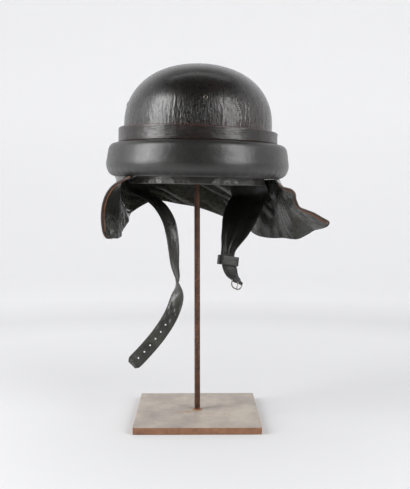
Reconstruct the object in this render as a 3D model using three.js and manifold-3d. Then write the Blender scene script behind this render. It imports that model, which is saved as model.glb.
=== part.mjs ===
// A leather flying helmet with a hard crown, a padded rim roll, a neck curtain and an
// open chin strap, on its plain display stand: a square plate, a round rod and a hidden
// disc under the crown.
//
// Millimetres, +Z up. The origin is the centre of the plate's underside. The helmet's
// front faces -Y. Angles round the head are counted from the front towards +X.

import * as THREE from 'three';
import { mergeVertices } from 'three/addons/utils/BufferGeometryUtils.js';
import Module from 'manifold-3d';

// Clearance between pieces that touch or turn on each other.
const clearance = 0.3;

// Display stand.
const plateSide = 180;
const plateThickness = 10;
const rodDiameter = 8.5;
const capDiameter = 64;
const capThickness = 3.6;

// How the helmet sits: height of its rim, and how it is turned and leans, in degrees.
const rimHeight = 356;
const helmetTurn = 4.5;
const helmetLean = 1;

// Crown: an oval shell with upright sides and a rounded top.
const crownWidth = 214;
const crownLength = 248;
const crownHeight = 162.5;
const crownSideHeight = 75;
const crownWall = 9;
const domeRoundness = 2.2;
const ringSegments = 54;
const innerSteps = 8;

// Roll round the rim, and the band above it. The band is higher at the -X side.
const rollWidth = 25.5;
const rollHeight = 48;
const bandHeight = 19;
const bandThickness = 8.2;
const bandSlope = 2.4;

// Strip inside the rim.
const headbandThickness = 2.2;
const headbandRise = 20;
const headbandDrop = 10;

// Neck curtain.
const curtainInset = 12;
const curtainDrop = 90;
const curtainWall = 2;
const pipingDiameter = 3;
const curtainRows = 8;

// Chin strap, both halves.
const longStrapLength = 340;
const shortStrapLength = 180;
const strapWidth = 22;
const strapWall = 2;
const longAnchorAngle = 232;
const shortAnchorAngle = 125.5;
const anchorDrop = 0.8;
const anchorInset = 6;
const holeDiameter = 2.4;
const holeCount = 6;
const holePitch = 12.5;
const firstHole = 14;
const slitLength = 5;
const slitWidth = 2;
const slitFromTip = 262;

// Loose keeper loop on the short strap.
const keeperLength = 14;
const keeperWidth = 29;
const keeperWall = 1.6;
const keeperTilt = 20;
const keeperSlope = 8;
const keeperFromBar = 38;

// Buckle: a wire bow on a bar, with a prong. The hang is the angle from the strap's end.
const wireDiameter = 2;
const bowDepth = 10.9;
const buckleHang = 54;
const prongLength = 13;
const prongDiameter = 1.6;
const prongRingWall = 0.8;
const slotLength = 8;

// Vent eyelets in the crown.
const eyeletHeight = 104;
const eyeletDiameter = 6;
const eyeletHole = 2.5;
const eyeletBarrelWall = 0.55;
const eyeletBarrelLength = 4;

const halfWidth = crownWidth / 2;
const halfLength = crownLength / 2;

const material = (color, roughness, metalness) =>
  new THREE.MeshStandardMaterial({ color, roughness, metalness });
const crownLeather = material('#2b2a27', 0.42, 0);
const rollLeather = material('#3a3a38', 0.5, 0);
const flapLeather = material('#1e1f1c', 0.45, 0);
const strapLeather = material('#2a2b29', 0.5, 0);
const pipingLeather = material('#7a5a45', 0.6, 0);
const rustySteel = material('#7a5a48', 0.6, 0.6);
const brightSteel = material('#b9b6b0', 0.3, 1);

const wasm = await Module();
wasm.setup();

// A geometry with shared corners joined and closed-up triangles left out.
function joined(geometry) {
  const bare = geometry.clone();
  bare.deleteAttribute('normal');
  bare.deleteAttribute('uv');
  const merged = mergeVertices(bare, 1e-4);
  const corners = merged.getIndex().array;
  const kept = [];
  for (let i = 0; i < corners.length; i += 3) {
    const [a, b, c] = [corners[i], corners[i + 1], corners[i + 2]];
    if (a !== b && b !== c && c !== a) kept.push(a, b, c);
  }
  merged.setIndex(kept);
  merged.computeVertexNormals();
  return merged;
}

function toSolid(geometry) {
  const bare = joined(geometry);
  return new wasm.Manifold(new wasm.Mesh({
    numProp: 3,
    vertProperties: new Float32Array(bare.getAttribute('position').array),
    triVerts: new Uint32Array(bare.getIndex().array),
  }));
}

function toGeometry(solid) {
  const mesh = solid.getMesh();
  const geometry = new THREE.BufferGeometry();
  const positions = new Float32Array(mesh.vertProperties);
  geometry.setAttribute('position', new THREE.BufferAttribute(positions, 3));
  geometry.setIndex(Array.from(mesh.triVerts));
  geometry.computeVertexNormals();
  return geometry;
}

// Moves every corner of a geometry to the place that the function gives it.
function reshaped(geometry, place) {
  const position = geometry.getAttribute('position');
  for (let i = 0; i < position.count; i += 1) {
    const corner = new THREE.Vector3().fromBufferAttribute(position, i);
    const moved = place(corner, i);
    position.setXYZ(i, moved.x, moved.y, moved.z);
  }
  return joined(geometry);
}

// Smooth value of one column of a table, with t from 0 at the first row to 1 at the last.
function column(rows, key, t) {
  const place = Math.min(Math.max(t, 0), 1) * (rows.length - 1);
  const i = Math.min(Math.floor(place), rows.length - 2);
  const f = place - i;
  const at = (k) => rows[Math.min(Math.max(k, 0), rows.length - 1)][key];
  const rise = (at(i + 1) - at(i - 1)) / 2;
  const nextRise = (at(i + 2) - at(i)) / 2;
  const ff = f * f;
  const fff = ff * f;
  return (2 * fff - 3 * ff + 1) * at(i) + (fff - 2 * ff + f) * rise
    + (3 * ff - 2 * fff) * at(i + 1) + (fff - ff) * nextRise;
}

// A closed section turned round the head. Each row is a point of the section, outside
// going up, with its half width across the head, half length along it and height.
function ovalRing(rows) {
  const section = rows.map((row) => new THREE.Vector2(row.across, row.up));
  const lathe = new THREE.LatheGeometry(section, ringSegments);
  return reshaped(lathe, (corner, i) => {
    const row = rows[i % rows.length];
    const stretch = row.across > 0 ? row.along / row.across : 1;
    return new THREE.Vector3(corner.x, -corner.z * stretch, corner.y);
  });
}

// A section row that stands out from the crown's side by the given length.
const offset = (out, up) => ({ across: halfWidth + out, along: halfLength + out, up });

// Share of the crown's plan that is left at a height, and height at such a share.
function domeShare(height) {
  const rise = Math.max((height - crownSideHeight) / (crownHeight - crownSideHeight), 0);
  return Math.pow(1 - Math.pow(rise, domeRoundness), 1 / domeRoundness);
}

// The crown's section: up the outside to the top, or down the inside from the top.
function domeRows(wall, steps) {
  const rows = [];
  const top = crownHeight - wall - crownSideHeight;
  for (let i = 0; i <= steps; i += 1) {
    const turn = (i / steps) * (Math.PI / 2);
    const share = i === steps ? 0 : Math.pow(Math.cos(turn), 2 / domeRoundness);
    const rise = Math.pow(Math.sin(turn), 2 / domeRoundness);
    rows.push({
      across: (halfWidth - wall) * share,
      along: (halfLength - wall) * share,
      up: crownSideHeight + top * rise,
    });
  }
  return rows;
}

function crownGeometry() {
  const inside = domeRows(crownWall, innerSteps).reverse();
  const outside = domeRows(0, 11);
  return ovalRing([...inside, offset(-crownWall, 0), offset(0, 0), ...outside]);
}

// Section of the rim roll: how far it stands out and up, as shares of width and height.
const rollSection = [
  { out: 0.50, up: 0.000 },
  { out: 0.68, up: 0.035 },
  { out: 0.84, up: 0.110 },
  { out: 0.95, up: 0.220 },
  { out: 1.00, up: 0.375 },
  { out: 0.955, up: 0.560 },
  { out: 0.90, up: 0.750 },
  { out: 0.83, up: 0.880 },
  { out: 0.68, up: 0.965 },
  { out: 0.45, up: 1.000 },
];
const rollTop = rollHeight;

function rollGeometry() {
  const low = offset(clearance, 0);
  const outside = rollSection.map((row) => offset(rollWidth * row.out, rollHeight * row.up));
  return ovalRing([low, ...outside, offset(clearance, rollTop), low]);
}

// The band stands on the roll. Its upper edge slopes down towards +X.
function bandGeometry() {
  const low = rollTop + clearance;
  const high = low + bandHeight;
  const edge = bandThickness / 10;
  const first = offset(clearance, low);
  const ring = ovalRing([
    first,
    offset(clearance + bandThickness - edge, low),
    offset(clearance + bandThickness, low + edge),
    offset(clearance + bandThickness, high - edge),
    offset(clearance + bandThickness - edge, high),
    offset(clearance, high),
    first,
  ]);
  return reshaped(ring, (corner) => {
    const rise = (corner.z - low) / bandHeight;
    corner.z -= (bandSlope * rise * corner.x) / halfWidth;
    return corner;
  });
}

function headbandGeometry() {
  const outer = -crownWall - clearance;
  const inner = outer - headbandThickness;
  const first = offset(inner, -headbandDrop);
  return ovalRing([
    first,
    offset(outer, -headbandDrop),
    offset(outer, headbandRise),
    offset(inner, headbandRise),
    first,
  ]);
}

// Neck curtain, from the front edge at +X round the back to the front edge at -X.
// rim and hem: angle round the head, above and below. reach: share of the rim's oval.
// drop: share of curtainDrop. out and down: where the sheet bends, as shares of its way.
// belly: how far it stands out below the rim, and lift: how far it rises towards the hem,
// both as shares of curtainDrop.
const curtainStations = [
  { rim: 61, hem: 83, reach: 1.63, drop: 0.70, out: 0.33, down: 0.80, belly: 0.13, lift: 0.080 },
  { rim: 70, hem: 88, reach: 1.50, drop: 0.84, out: 0.40, down: 0.70, belly: 0.08, lift: 0.035 },
  { rim: 83, hem: 93, reach: 1.31, drop: 0.96, out: 0.46, down: 0.60, belly: 0.03, lift: 0 },
  { rim: 97, hem: 101, reach: 1.11, drop: 0.99, out: 0.50, down: 0.50, belly: 0.00, lift: 0 },
  { rim: 112, hem: 115, reach: 1.00, drop: 0.98, out: 0.50, down: 0.50, belly: 0.00, lift: 0 },
  { rim: 128, hem: 129, reach: 0.98, drop: 0.89, out: 0.50, down: 0.50, belly: 0.00, lift: 0 },
  { rim: 143, hem: 143, reach: 0.99, drop: 0.76, out: 0.50, down: 0.50, belly: 0.00, lift: 0 },
  { rim: 158, hem: 158, reach: 0.99, drop: 0.63, out: 0.50, down: 0.50, belly: 0.00, lift: 0 },
  { rim: 173, hem: 173, reach: 1.00, drop: 0.52, out: 0.50, down: 0.50, belly: 0.00, lift: 0 },
  { rim: 187, hem: 188, reach: 0.98, drop: 0.46, out: 0.50, down: 0.50, belly: 0.00, lift: 0 },
  { rim: 201, hem: 201, reach: 0.95, drop: 0.41, out: 0.50, down: 0.50, belly: 0.00, lift: 0 },
  { rim: 215, hem: 214, reach: 0.89, drop: 0.40, out: 0.38, down: 0.62, belly: 0.00, lift: 0 },
  { rim: 229, hem: 227, reach: 0.84, drop: 0.44, out: 0.38, down: 0.62, belly: 0.00, lift: 0 },
  { rim: 244, hem: 245, reach: 0.85, drop: 0.56, out: 0.38, down: 0.62, belly: 0.00, lift: 0 },
  { rim: 259, hem: 259, reach: 0.86, drop: 0.68, out: 0.38, down: 0.62, belly: 0.00, lift: 0 },
  { rim: 273, hem: 270, reach: 0.88, drop: 0.80, out: 0.60, down: 0.42, belly: 0.00, lift: 0 },
  { rim: 287, hem: 279, reach: 0.92, drop: 0.94, out: 0.75, down: 0.32, belly: 0.00, lift: 0 },
  { rim: 299, hem: 284, reach: 1.05, drop: 0.97, out: 1.05, down: 0.19, belly: 0.00, lift: 0 },
  { rim: 312, hem: 288, reach: 1.17, drop: 0.91, out: 1.28, down: 0.11, belly: 0.00, lift: 0 },
];

// Folds down the curtain: place along it, width as a share of it, and how far the
// sheet stands out at the hem, as a share of curtainDrop.
const curtainFolds = [
  { at: 0.065, spread: 0.020, depth: 0.035 },
  { at: 0.115, spread: 0.018, depth: -0.040 },
  { at: 0.165, spread: 0.020, depth: 0.045 },
  { at: 0.235, spread: 0.026, depth: -0.040 },
  { at: 0.330, spread: 0.030, depth: 0.030 },
  { at: 0.430, spread: 0.030, depth: -0.030 },
  { at: 0.520, spread: 0.030, depth: 0.025 },
  { at: 0.620, spread: 0.030, depth: -0.030 },
  { at: 0.720, spread: 0.030, depth: 0.035 },
  { at: 0.800, spread: 0.024, depth: -0.040 },
  { at: 0.868, spread: 0.020, depth: 0.040 },
  { at: 0.930, spread: 0.018, depth: -0.040 },
];

// A point on the rim's oval under the roll, with an angle in degrees and a share.
function rimPoint(angle, share, height) {
  const turn = THREE.MathUtils.degToRad(angle);
  const across = (halfWidth + curtainInset) * share;
  const along = (halfLength + curtainInset) * share;
  return new THREE.Vector3(across * Math.sin(turn), -along * Math.cos(turn), height);
}

// Middle surface of the curtain, u along it and v from 0 at the rim to 1 at the hem.
function curtainSheet(u, v) {
  const value = (key) => column(curtainStations, key, u);
  const top = rimPoint(value('rim'), 1, -clearance);
  const hem = rimPoint(value('hem'), value('reach'), -clearance - curtainDrop * value('drop'));
  const bend = new THREE.Vector3(
    THREE.MathUtils.lerp(top.x, hem.x, value('out')),
    THREE.MathUtils.lerp(top.y, hem.y, value('out')),
    THREE.MathUtils.lerp(top.z, hem.z, value('down')),
  );
  const point = top.multiplyScalar((1 - v) * (1 - v));
  point.addScaledVector(bend, 2 * v * (1 - v)).addScaledVector(hem, v * v);
  const near = (v - 0.72) / 0.2;
  point.z += curtainDrop * value('lift') * v * Math.exp(-near * near);
  return point;
}

function sheetNormal(sheet, u, v) {
  const step = 1e-3;
  const near = (value) => Math.min(Math.max(value, step), 1 - step);
  const [a, b] = [near(u), near(v)];
  const along = sheet(a + step, b).sub(sheet(a - step, b));
  const up = sheet(a, b - step).sub(sheet(a, b + step));
  return along.cross(up).normalize();
}

function foldedCurtain(u, v) {
  let stand = 0;
  for (const fold of curtainFolds) {
    const away = (u - fold.at) / fold.spread;
    stand += curtainDrop * fold.depth * v * Math.exp(-away * away);
  }
  const below = (v - 0.29) / 0.13;
  stand += curtainDrop * column(curtainStations, 'belly', u) * Math.exp(-below * below);
  return curtainSheet(u, v).addScaledVector(sheetNormal(curtainSheet, u, v), stand);
}

// The normal lies level at the rim, so that the upper edge stays under the roll.
function curtainNormal(u, v) {
  const normal = sheetNormal(foldedCurtain, u, v);
  if (v === 0) normal.setZ(0).normalize();
  return normal;
}

function curtainGeometry() {
  const box = new THREE.BoxGeometry(1, 1, 1, 64, curtainRows, 1);
  return reshaped(box, (corner) => {
    const u = corner.x + 0.5;
    const v = 0.5 - corner.y;
    return foldedCurtain(u, v).addScaledVector(curtainNormal(u, v), corner.z * curtainWall);
  });
}

function circleShape(diameter, sides) {
  const points = [];
  for (let i = 0; i < sides; i += 1) {
    const turn = (i / sides) * 2 * Math.PI;
    points.push(new THREE.Vector2(Math.cos(turn), Math.sin(turn)).multiplyScalar(diameter / 2));
  }
  return new THREE.Shape(points);
}

function tubeGeometry(points, diameter, sides, steps) {
  const path = new THREE.CatmullRomCurve3(points, false, 'centripetal');
  return joined(new THREE.ExtrudeGeometry(circleShape(diameter, sides), {
    steps,
    bevelEnabled: false,
    extrudePath: path,
  }));
}

// Piping along a front edge of the curtain and round its lower corner. The edge is at
// u = 0 or 1, and the piping ends where the hem has run the given share.
function pipingGeometry(edge, hemShare) {
  const stand = pipingDiameter / 2 + 2 * clearance;
  const step = 1e-3;
  const side = edge === 0 ? 1 : -1;
  const away = (v) => {
    const up = foldedCurtain(edge, v - step).sub(foldedCurtain(edge, v));
    const normal = sheetNormal(foldedCurtain, edge, v);
    return normal.cross(up).multiplyScalar(side).normalize();
  };
  const below = (u) => {
    const along = foldedCurtain(u + side * step, 1).sub(foldedCurtain(u, 1));
    const normal = sheetNormal(foldedCurtain, u, 1);
    return along.cross(normal).multiplyScalar(side).normalize();
  };
  const points = [];
  for (let i = 0; i < curtainRows; i += 1) {
    const v = Math.max(i / curtainRows, 0.07);
    points.push(foldedCurtain(edge, v).addScaledVector(away(v), stand));
  }
  const corner = foldedCurtain(edge, 1);
  corner.addScaledVector(away(1), stand).addScaledVector(below(edge), stand);
  points.push(corner);
  for (let i = 1; i <= 3; i += 1) {
    const u = edge + (side * hemShare * i) / 3;
    points.push(foldedCurtain(u, 1).addScaledVector(below(u), stand));
  }
  return tubeGeometry(points, pipingDiameter, 6, 24);
}

// Strap routes from their anchors under the roll. x, y and z are shares of the strap's
// length, width of strapWidth, turn is the way its width faces in degrees from +X, bow
// is how far the edges curl, as a share of the width, and layers is in strap walls.
const longStrapRows = [
  { x: 0.000, y: 0.000, z: 0.000, width: 2.00, turn: 52, bow: 0.08, layers: 1 },
  { x: 0.000, y: 0.000, z: -0.022, width: 1.98, turn: 51, bow: 0.09, layers: 1 },
  { x: 0.005, y: -0.013, z: -0.047, width: 1.88, turn: 48, bow: 0.09, layers: 1 },
  { x: 0.024, y: -0.052, z: -0.077, width: 1.62, turn: 42, bow: 0.09, layers: 1 },
  { x: 0.060, y: -0.106, z: -0.096, width: 1.32, turn: 36, bow: 0.10, layers: 1 },
  { x: 0.108, y: -0.163, z: -0.136, width: 1.06, turn: 24, bow: 0.12, layers: 1 },
  { x: 0.140, y: -0.195, z: -0.188, width: 1.00, turn: 24, bow: 0.10, layers: 1 },
  { x: 0.155, y: -0.212, z: -0.243, width: 1.00, turn: 32, bow: 0.07, layers: 1 },
  { x: 0.164, y: -0.220, z: -0.309, width: 1.00, turn: 41, bow: 0.05, layers: 1 },
  { x: 0.169, y: -0.227, z: -0.379, width: 1.00, turn: 56, bow: 0.06, layers: 1 },
  { x: 0.179, y: -0.234, z: -0.447, width: 1.00, turn: 82, bow: 0.12, layers: 1 },
  { x: 0.180, y: -0.245, z: -0.520, width: 1.00, turn: 150, bow: 0.05, layers: 1 },
  { x: 0.156, y: -0.261, z: -0.592, width: 1.00, turn: 168, bow: 0.02, layers: 1 },
  { x: 0.109, y: -0.275, z: -0.668, width: 1.00, turn: 174, bow: 0.03, layers: 1 },
  { x: 0.052, y: -0.282, z: -0.738, width: 1.00, turn: 176, bow: 0.02, layers: 1 },
  { x: 0.000, y: -0.288, z: -0.793, width: 0.97, turn: 177, bow: 0.00, layers: 1 },
  { x: -0.011, y: -0.289, z: -0.804, width: 0.66, turn: 177, bow: 0.00, layers: 1 },
];
const shortStrapRows = [
  { x: 0.000, y: 0.000, z: 0.000, width: 3.40, turn: -54, bow: 0.12, layers: 1 },
  { x: 0.000, y: 0.000, z: -0.060, width: 3.40, turn: -53, bow: 0.13, layers: 1 },
  { x: 0.011, y: -0.029, z: -0.155, width: 3.20, turn: -47, bow: 0.14, layers: 1 },
  { x: -0.052, y: -0.085, z: -0.254, width: 2.95, turn: -36, bow: 0.12, layers: 1 },
  { x: -0.109, y: -0.131, z: -0.344, width: 2.62, turn: -26, bow: 0.08, layers: 1 },
  { x: -0.155, y: -0.172, z: -0.437, width: 2.05, turn: -16, bow: 0.06, layers: 1 },
  { x: -0.194, y: -0.202, z: -0.521, width: 1.50, turn: -8, bow: 0.04, layers: 1 },
  { x: -0.218, y: -0.228, z: -0.587, width: 1.07, turn: 2, bow: 0.02, layers: 1 },
  { x: -0.228, y: -0.247, z: -0.638, width: 0.98, turn: 9, bow: 0.00, layers: 1.4 },
  { x: -0.227, y: -0.266, z: -0.686, width: 0.97, turn: 17, bow: 0.00, layers: 2.2 },
  { x: -0.213, y: -0.298, z: -0.748, width: 1.08, turn: 25, bow: 0.00, layers: 2.2 },
  { x: -0.185, y: -0.318, z: -0.818, width: 1.12, turn: 52, bow: 0.00, layers: 2.2 },
  { x: -0.172, y: -0.342, z: -0.836, width: 1.04, turn: 64, bow: 0.00, layers: 2.2 },
  { x: -0.158, y: -0.366, z: -0.854, width: 1.00, turn: 67, bow: 0.00, layers: 2.2 },
];

// A strap as a function of t: its middle, the way along it, across it and through it.
function strapRoute(rows, length, anchorAngle) {
  const share = 1 - anchorInset / (halfWidth + curtainInset);
  const anchor = rimPoint(anchorAngle, share, -anchorDrop);
  const points = rows.map((row) =>
    new THREE.Vector3(row.x, row.y, row.z).multiplyScalar(length).add(anchor));
  const path = new THREE.CatmullRomCurve3(points, false, 'centripetal');
  const frame = (t) => {
    const along = path.getTangent(t);
    const turn = THREE.MathUtils.degToRad(column(rows, 'turn', t));
    const across = new THREE.Vector3(Math.cos(turn), Math.sin(turn), 0);
    across.addScaledVector(along, -across.dot(along)).normalize();
    const through = new THREE.Vector3().crossVectors(across, along);
    return { middle: path.getPoint(t), along, across, through };
  };
  const fromEnd = (distance) => path.getUtoTmapping(1 - distance / path.getLength());
  return { rows, frame, fromEnd };
}

function strapGeometry(route, steps) {
  const box = new THREE.BoxGeometry(1, 1, 1, 4, steps, 1);
  return reshaped(box, (corner) => {
    const t = 0.5 + corner.y;
    const { middle, across, through } = route.frame(t);
    const width = strapWidth * column(route.rows, 'width', t);
    const bow = -width * column(route.rows, 'bow', t) * (2 * corner.x) ** 2;
    const stand = bow + corner.z * strapWall * column(route.rows, 'layers', t);
    return middle.addScaledVector(across, width * corner.x).addScaledVector(through, stand);
  });
}

// A matrix that puts a piece's X, Y and Z along the given ways at a place.
function placement(x, y, z, place) {
  return new THREE.Matrix4().makeBasis(x, y, z).setPosition(place);
}

const longRoute = strapRoute(longStrapRows, longStrapLength, longAnchorAngle);
const shortRoute = strapRoute(shortStrapRows, shortStrapLength, shortAnchorAngle);

function longStrapGeometry() {
  let strap = toSolid(strapGeometry(longRoute, 36));
  for (let i = 0; i < holeCount; i += 1) {
    const { middle, across, along, through } = longRoute.frame(
      longRoute.fromEnd(firstHole + holePitch * i),
    );
    const hole = new THREE.CylinderGeometry(
      holeDiameter / 2,
      holeDiameter / 2,
      strapWall * 3,
      8,
    );
    hole.applyMatrix4(placement(along, through, across, middle));
    strap = strap.subtract(toSolid(hole));
  }
  const { middle, across, along, through } = longRoute.frame(longRoute.fromEnd(slitFromTip));
  const slit = new THREE.BoxGeometry(slitWidth, slitLength, strapWall * 3);
  slit.applyMatrix4(placement(across, along, through, middle));
  return toGeometry(strap.subtract(toSolid(slit)));
}

// The short strap ends in a fold round the buckle's bar, with a slot for the prong.
const wireRadius = wireDiameter / 2;
const boreRadius = wireRadius + clearance + 0.05;
const foldRadius = boreRadius + strapWall * 0.6;
const slotWidth = prongDiameter + 2.5 * clearance;

function shortStrapGeometry() {
  const { middle, across, along, through } = shortRoute.frame(1);
  const round = placement(along, across, through.clone().negate(), middle);
  const fold = new THREE.CylinderGeometry(foldRadius, foldRadius, strapWidth, 16);
  const bore = new THREE.CylinderGeometry(boreRadius, boreRadius, strapWidth * 2, 16);
  const slot = new THREE.BoxGeometry(slotWidth, slotLength + 2 * foldRadius, 4 * foldRadius);
  slot.translate(0, foldRadius - slotLength / 2, 0);
  fold.applyMatrix4(round);
  bore.applyMatrix4(round);
  slot.applyMatrix4(placement(across, along, through, middle));
  const strap = toSolid(strapGeometry(shortRoute, 24)).add(toSolid(fold));
  return toGeometry(strap.subtract(toSolid(bore)).subtract(toSolid(slot)));
}

// The keeper is just deep enough for the doubled strap to pass through it at its tilt.
function keeperGeometry() {
  const tilt = THREE.MathUtils.degToRad(keeperTilt);
  const strapThickness = strapWall * 2.2;
  const depth = keeperLength * Math.sin(tilt) + strapThickness / Math.cos(tilt) + 9 * clearance;
  const outline = (grow) => {
    const x = keeperWidth / 2 + grow;
    const y = depth / 2 + grow;
    const bend = depth / 6 + grow;
    const shape = new THREE.Shape();
    shape.moveTo(-x + bend, -y);
    shape.lineTo(x - bend, -y);
    shape.quadraticCurveTo(x, -y, x, -y + bend);
    shape.lineTo(x, y - bend);
    shape.quadraticCurveTo(x, y, x - bend, y);
    shape.lineTo(-x + bend, y);
    shape.quadraticCurveTo(-x, y, -x, y - bend);
    shape.lineTo(-x, -y + bend);
    shape.quadraticCurveTo(-x, -y, -x + bend, -y);
    return shape;
  };
  const ring = outline(keeperWall);
  ring.holes.push(outline(0));
  const loop = new THREE.ExtrudeGeometry(ring, {
    depth: keeperLength,
    steps: 1,
    bevelEnabled: false,
    curveSegments: 4,
  });
  loop.translate(0, 0, -keeperLength / 2);
  const { middle, across, along, through } = shortRoute.frame(
    shortRoute.fromEnd(keeperFromBar),
  );
  const slope = THREE.MathUtils.degToRad(keeperSlope);
  across.applyAxisAngle(through, slope);
  const axis = along.applyAxisAngle(through, slope).applyAxisAngle(across, tilt);
  loop.applyMatrix4(placement(across, new THREE.Vector3().crossVectors(axis, across), axis, middle));
  return joined(loop);
}

// Buckle pieces are made with the bar along X, the bow towards +Y and the prong below.
const bowHalfWidth = strapWidth / 2 + clearance + 0.1 + wireRadius;
const bowSection = [
  { x: -1.00, y: 0.00 },
  { x: -1.00, y: 0.28 },
  { x: -0.90, y: 0.62 },
  { x: -0.60, y: 0.90 },
  { x: 0.00, y: 1.00 },
  { x: 0.60, y: 0.90 },
  { x: 0.90, y: 0.62 },
  { x: 1.00, y: 0.28 },
  { x: 1.00, y: 0.00 },
];

function buckleFrameGeometry() {
  const points = bowSection.map((row) =>
    new THREE.Vector3(row.x * bowHalfWidth, row.y * bowDepth, 0));
  const bow = toSolid(tubeGeometry(points, wireDiameter, 8, 18));
  const bar = new THREE.CylinderGeometry(
    wireRadius,
    wireRadius,
    2 * (bowHalfWidth + wireRadius),
    12,
  );
  bar.rotateZ(Math.PI / 2);
  return toGeometry(bow.add(toSolid(bar)));
}

function buckleProngGeometry() {
  const inner = wireRadius + clearance;
  const outer = inner + prongRingWall;
  const half = prongDiameter / 2;
  const ring = new THREE.LatheGeometry([
    new THREE.Vector2(inner / 2, -half),
    new THREE.Vector2(outer, -half),
    new THREE.Vector2(outer, half),
    new THREE.Vector2(inner / 2, half),
    new THREE.Vector2(inner / 2, -half),
  ], 16);
  ring.rotateZ(Math.PI / 2);
  const start = new THREE.Vector3(0, 0, -(inner + outer) / 2);
  const rest = new THREE.Vector3(0, bowDepth, -(wireRadius + half + clearance));
  const way = rest.clone().sub(start).normalize();
  const shaft = new THREE.CylinderGeometry(half * 0.8, half, prongLength, 8);
  shaft.translate(0, prongLength / 2, 0);
  shaft.applyQuaternion(new THREE.Quaternion().setFromUnitVectors(new THREE.Vector3(0, 1, 0), way));
  shaft.translate(start.x, start.y, start.z);
  const bore = new THREE.CylinderGeometry(inner, inner, prongDiameter * 3, 16);
  bore.rotateZ(Math.PI / 2);
  return toGeometry(toSolid(ring).add(toSolid(shaft)).subtract(toSolid(bore)));
}

// Where the buckle hangs on the short strap's end.
function bucklePlace() {
  const { middle, across, along } = shortRoute.frame(1);
  const hang = along.clone().applyAxisAngle(across, THREE.MathUtils.degToRad(buckleHang));
  return placement(across, hang, new THREE.Vector3().crossVectors(across, hang), middle);
}

// Eyelets stand on the crown at its four sides, and the crown is pierced under them.
function eyeletPlace(angle) {
  const turn = THREE.MathUtils.degToRad(angle);
  const share = domeShare(eyeletHeight);
  const x = halfWidth * share * Math.sin(turn);
  const y = -halfLength * share * Math.cos(turn);
  const level = Math.hypot(x, y);
  const fall = (domeShare(eyeletHeight - 1) - domeShare(eyeletHeight + 1)) / 2;
  const up = new THREE.Vector3(x / level, y / level, (fall * level) / share).normalize();
  const side = new THREE.Vector3(-y, x, 0).normalize();
  return placement(side, up, new THREE.Vector3().crossVectors(side, up), new THREE.Vector3(x, y, eyeletHeight));
}

const eyeletBarrelRadius = eyeletHole / 2 + eyeletBarrelWall;

function eyeletGeometry() {
  const flange = eyeletDiameter / 2;
  const under = clearance + 0.1;
  const first = new THREE.Vector2(eyeletHole / 2, -eyeletBarrelLength);
  return joined(new THREE.LatheGeometry([
    first,
    new THREE.Vector2(eyeletBarrelRadius, -eyeletBarrelLength),
    new THREE.Vector2(eyeletBarrelRadius, under),
    new THREE.Vector2(flange, under),
    new THREE.Vector2(flange * 0.95, under + 0.5),
    new THREE.Vector2(flange * 0.7, under + 0.9),
    new THREE.Vector2(eyeletHole / 2, under + 0.6),
    first,
  ], 10));
}

const eyelets = [
  { name: 'vent_eyelet_front', angle: 0 },
  { name: 'vent_eyelet_left', angle: 90 },
  { name: 'vent_eyelet_back', angle: 180 },
  { name: 'vent_eyelet_right', angle: 270 },
];

function piercedCrown() {
  let crown = toSolid(crownGeometry());
  for (const eyelet of eyelets) {
    const radius = eyeletBarrelRadius + clearance;
    const hole = new THREE.CylinderGeometry(radius, radius, crownWall * 4, 12);
    hole.applyMatrix4(eyeletPlace(eyelet.angle));
    crown = crown.subtract(toSolid(hole));
  }
  return toGeometry(crown);
}

// The disc under the crown follows the inside of the dome, facet by facet.
const innerRows = domeRows(crownWall, innerSteps);

function insideHeight(across) {
  const i = Math.max(innerRows.findIndex((row) => row.across <= across), 1);
  const [low, high] = [innerRows[i - 1], innerRows[i]];
  const f = (across - low.across) / (high.across - low.across);
  return THREE.MathUtils.lerp(low.up, high.up, f);
}

const capUnderside = insideHeight(capDiameter / 2) - clearance - capThickness;

function capGeometry() {
  const stretch = (halfLength - crownWall) / (halfWidth - crownWall);
  const row = (across, up) => ({ across, along: across * stretch, up });
  const radius = capDiameter / 2;
  const top = innerRows.filter((inner) => inner.across < radius);
  return ovalRing([
    row(0, capUnderside),
    row(radius, capUnderside),
    row(radius, insideHeight(radius) - clearance),
    ...top.map((inner) => row(inner.across, inner.up - clearance)),
  ]);
}

function rodGeometry() {
  const lean = THREE.MathUtils.degToRad(helmetLean);
  const seat = rimHeight + capUnderside / Math.cos(lean);
  const top = seat - clearance - (rodDiameter / 2) * Math.tan(lean);
  const length = top - plateThickness;
  const rod = new THREE.CylinderGeometry(rodDiameter / 2, rodDiameter / 2, length, 24);
  rod.rotateX(Math.PI / 2);
  rod.translate(0, 0, plateThickness + length / 2);
  return rod;
}

function plateGeometry() {
  const plate = new THREE.BoxGeometry(plateSide, plateSide, plateThickness);
  plate.translate(0, 0, plateThickness / 2);
  return plate;
}

function piece(name, geometry, look) {
  const mesh = new THREE.Mesh(geometry, look);
  mesh.name = name;
  return mesh;
}

const buckle = new THREE.Group();
bucklePlace().decompose(buckle.position, buckle.quaternion, buckle.scale);
buckle.add(
  piece('buckle_frame', buckleFrameGeometry(), brightSteel),
  piece('buckle_prong', buckleProngGeometry(), brightSteel),
);

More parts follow.
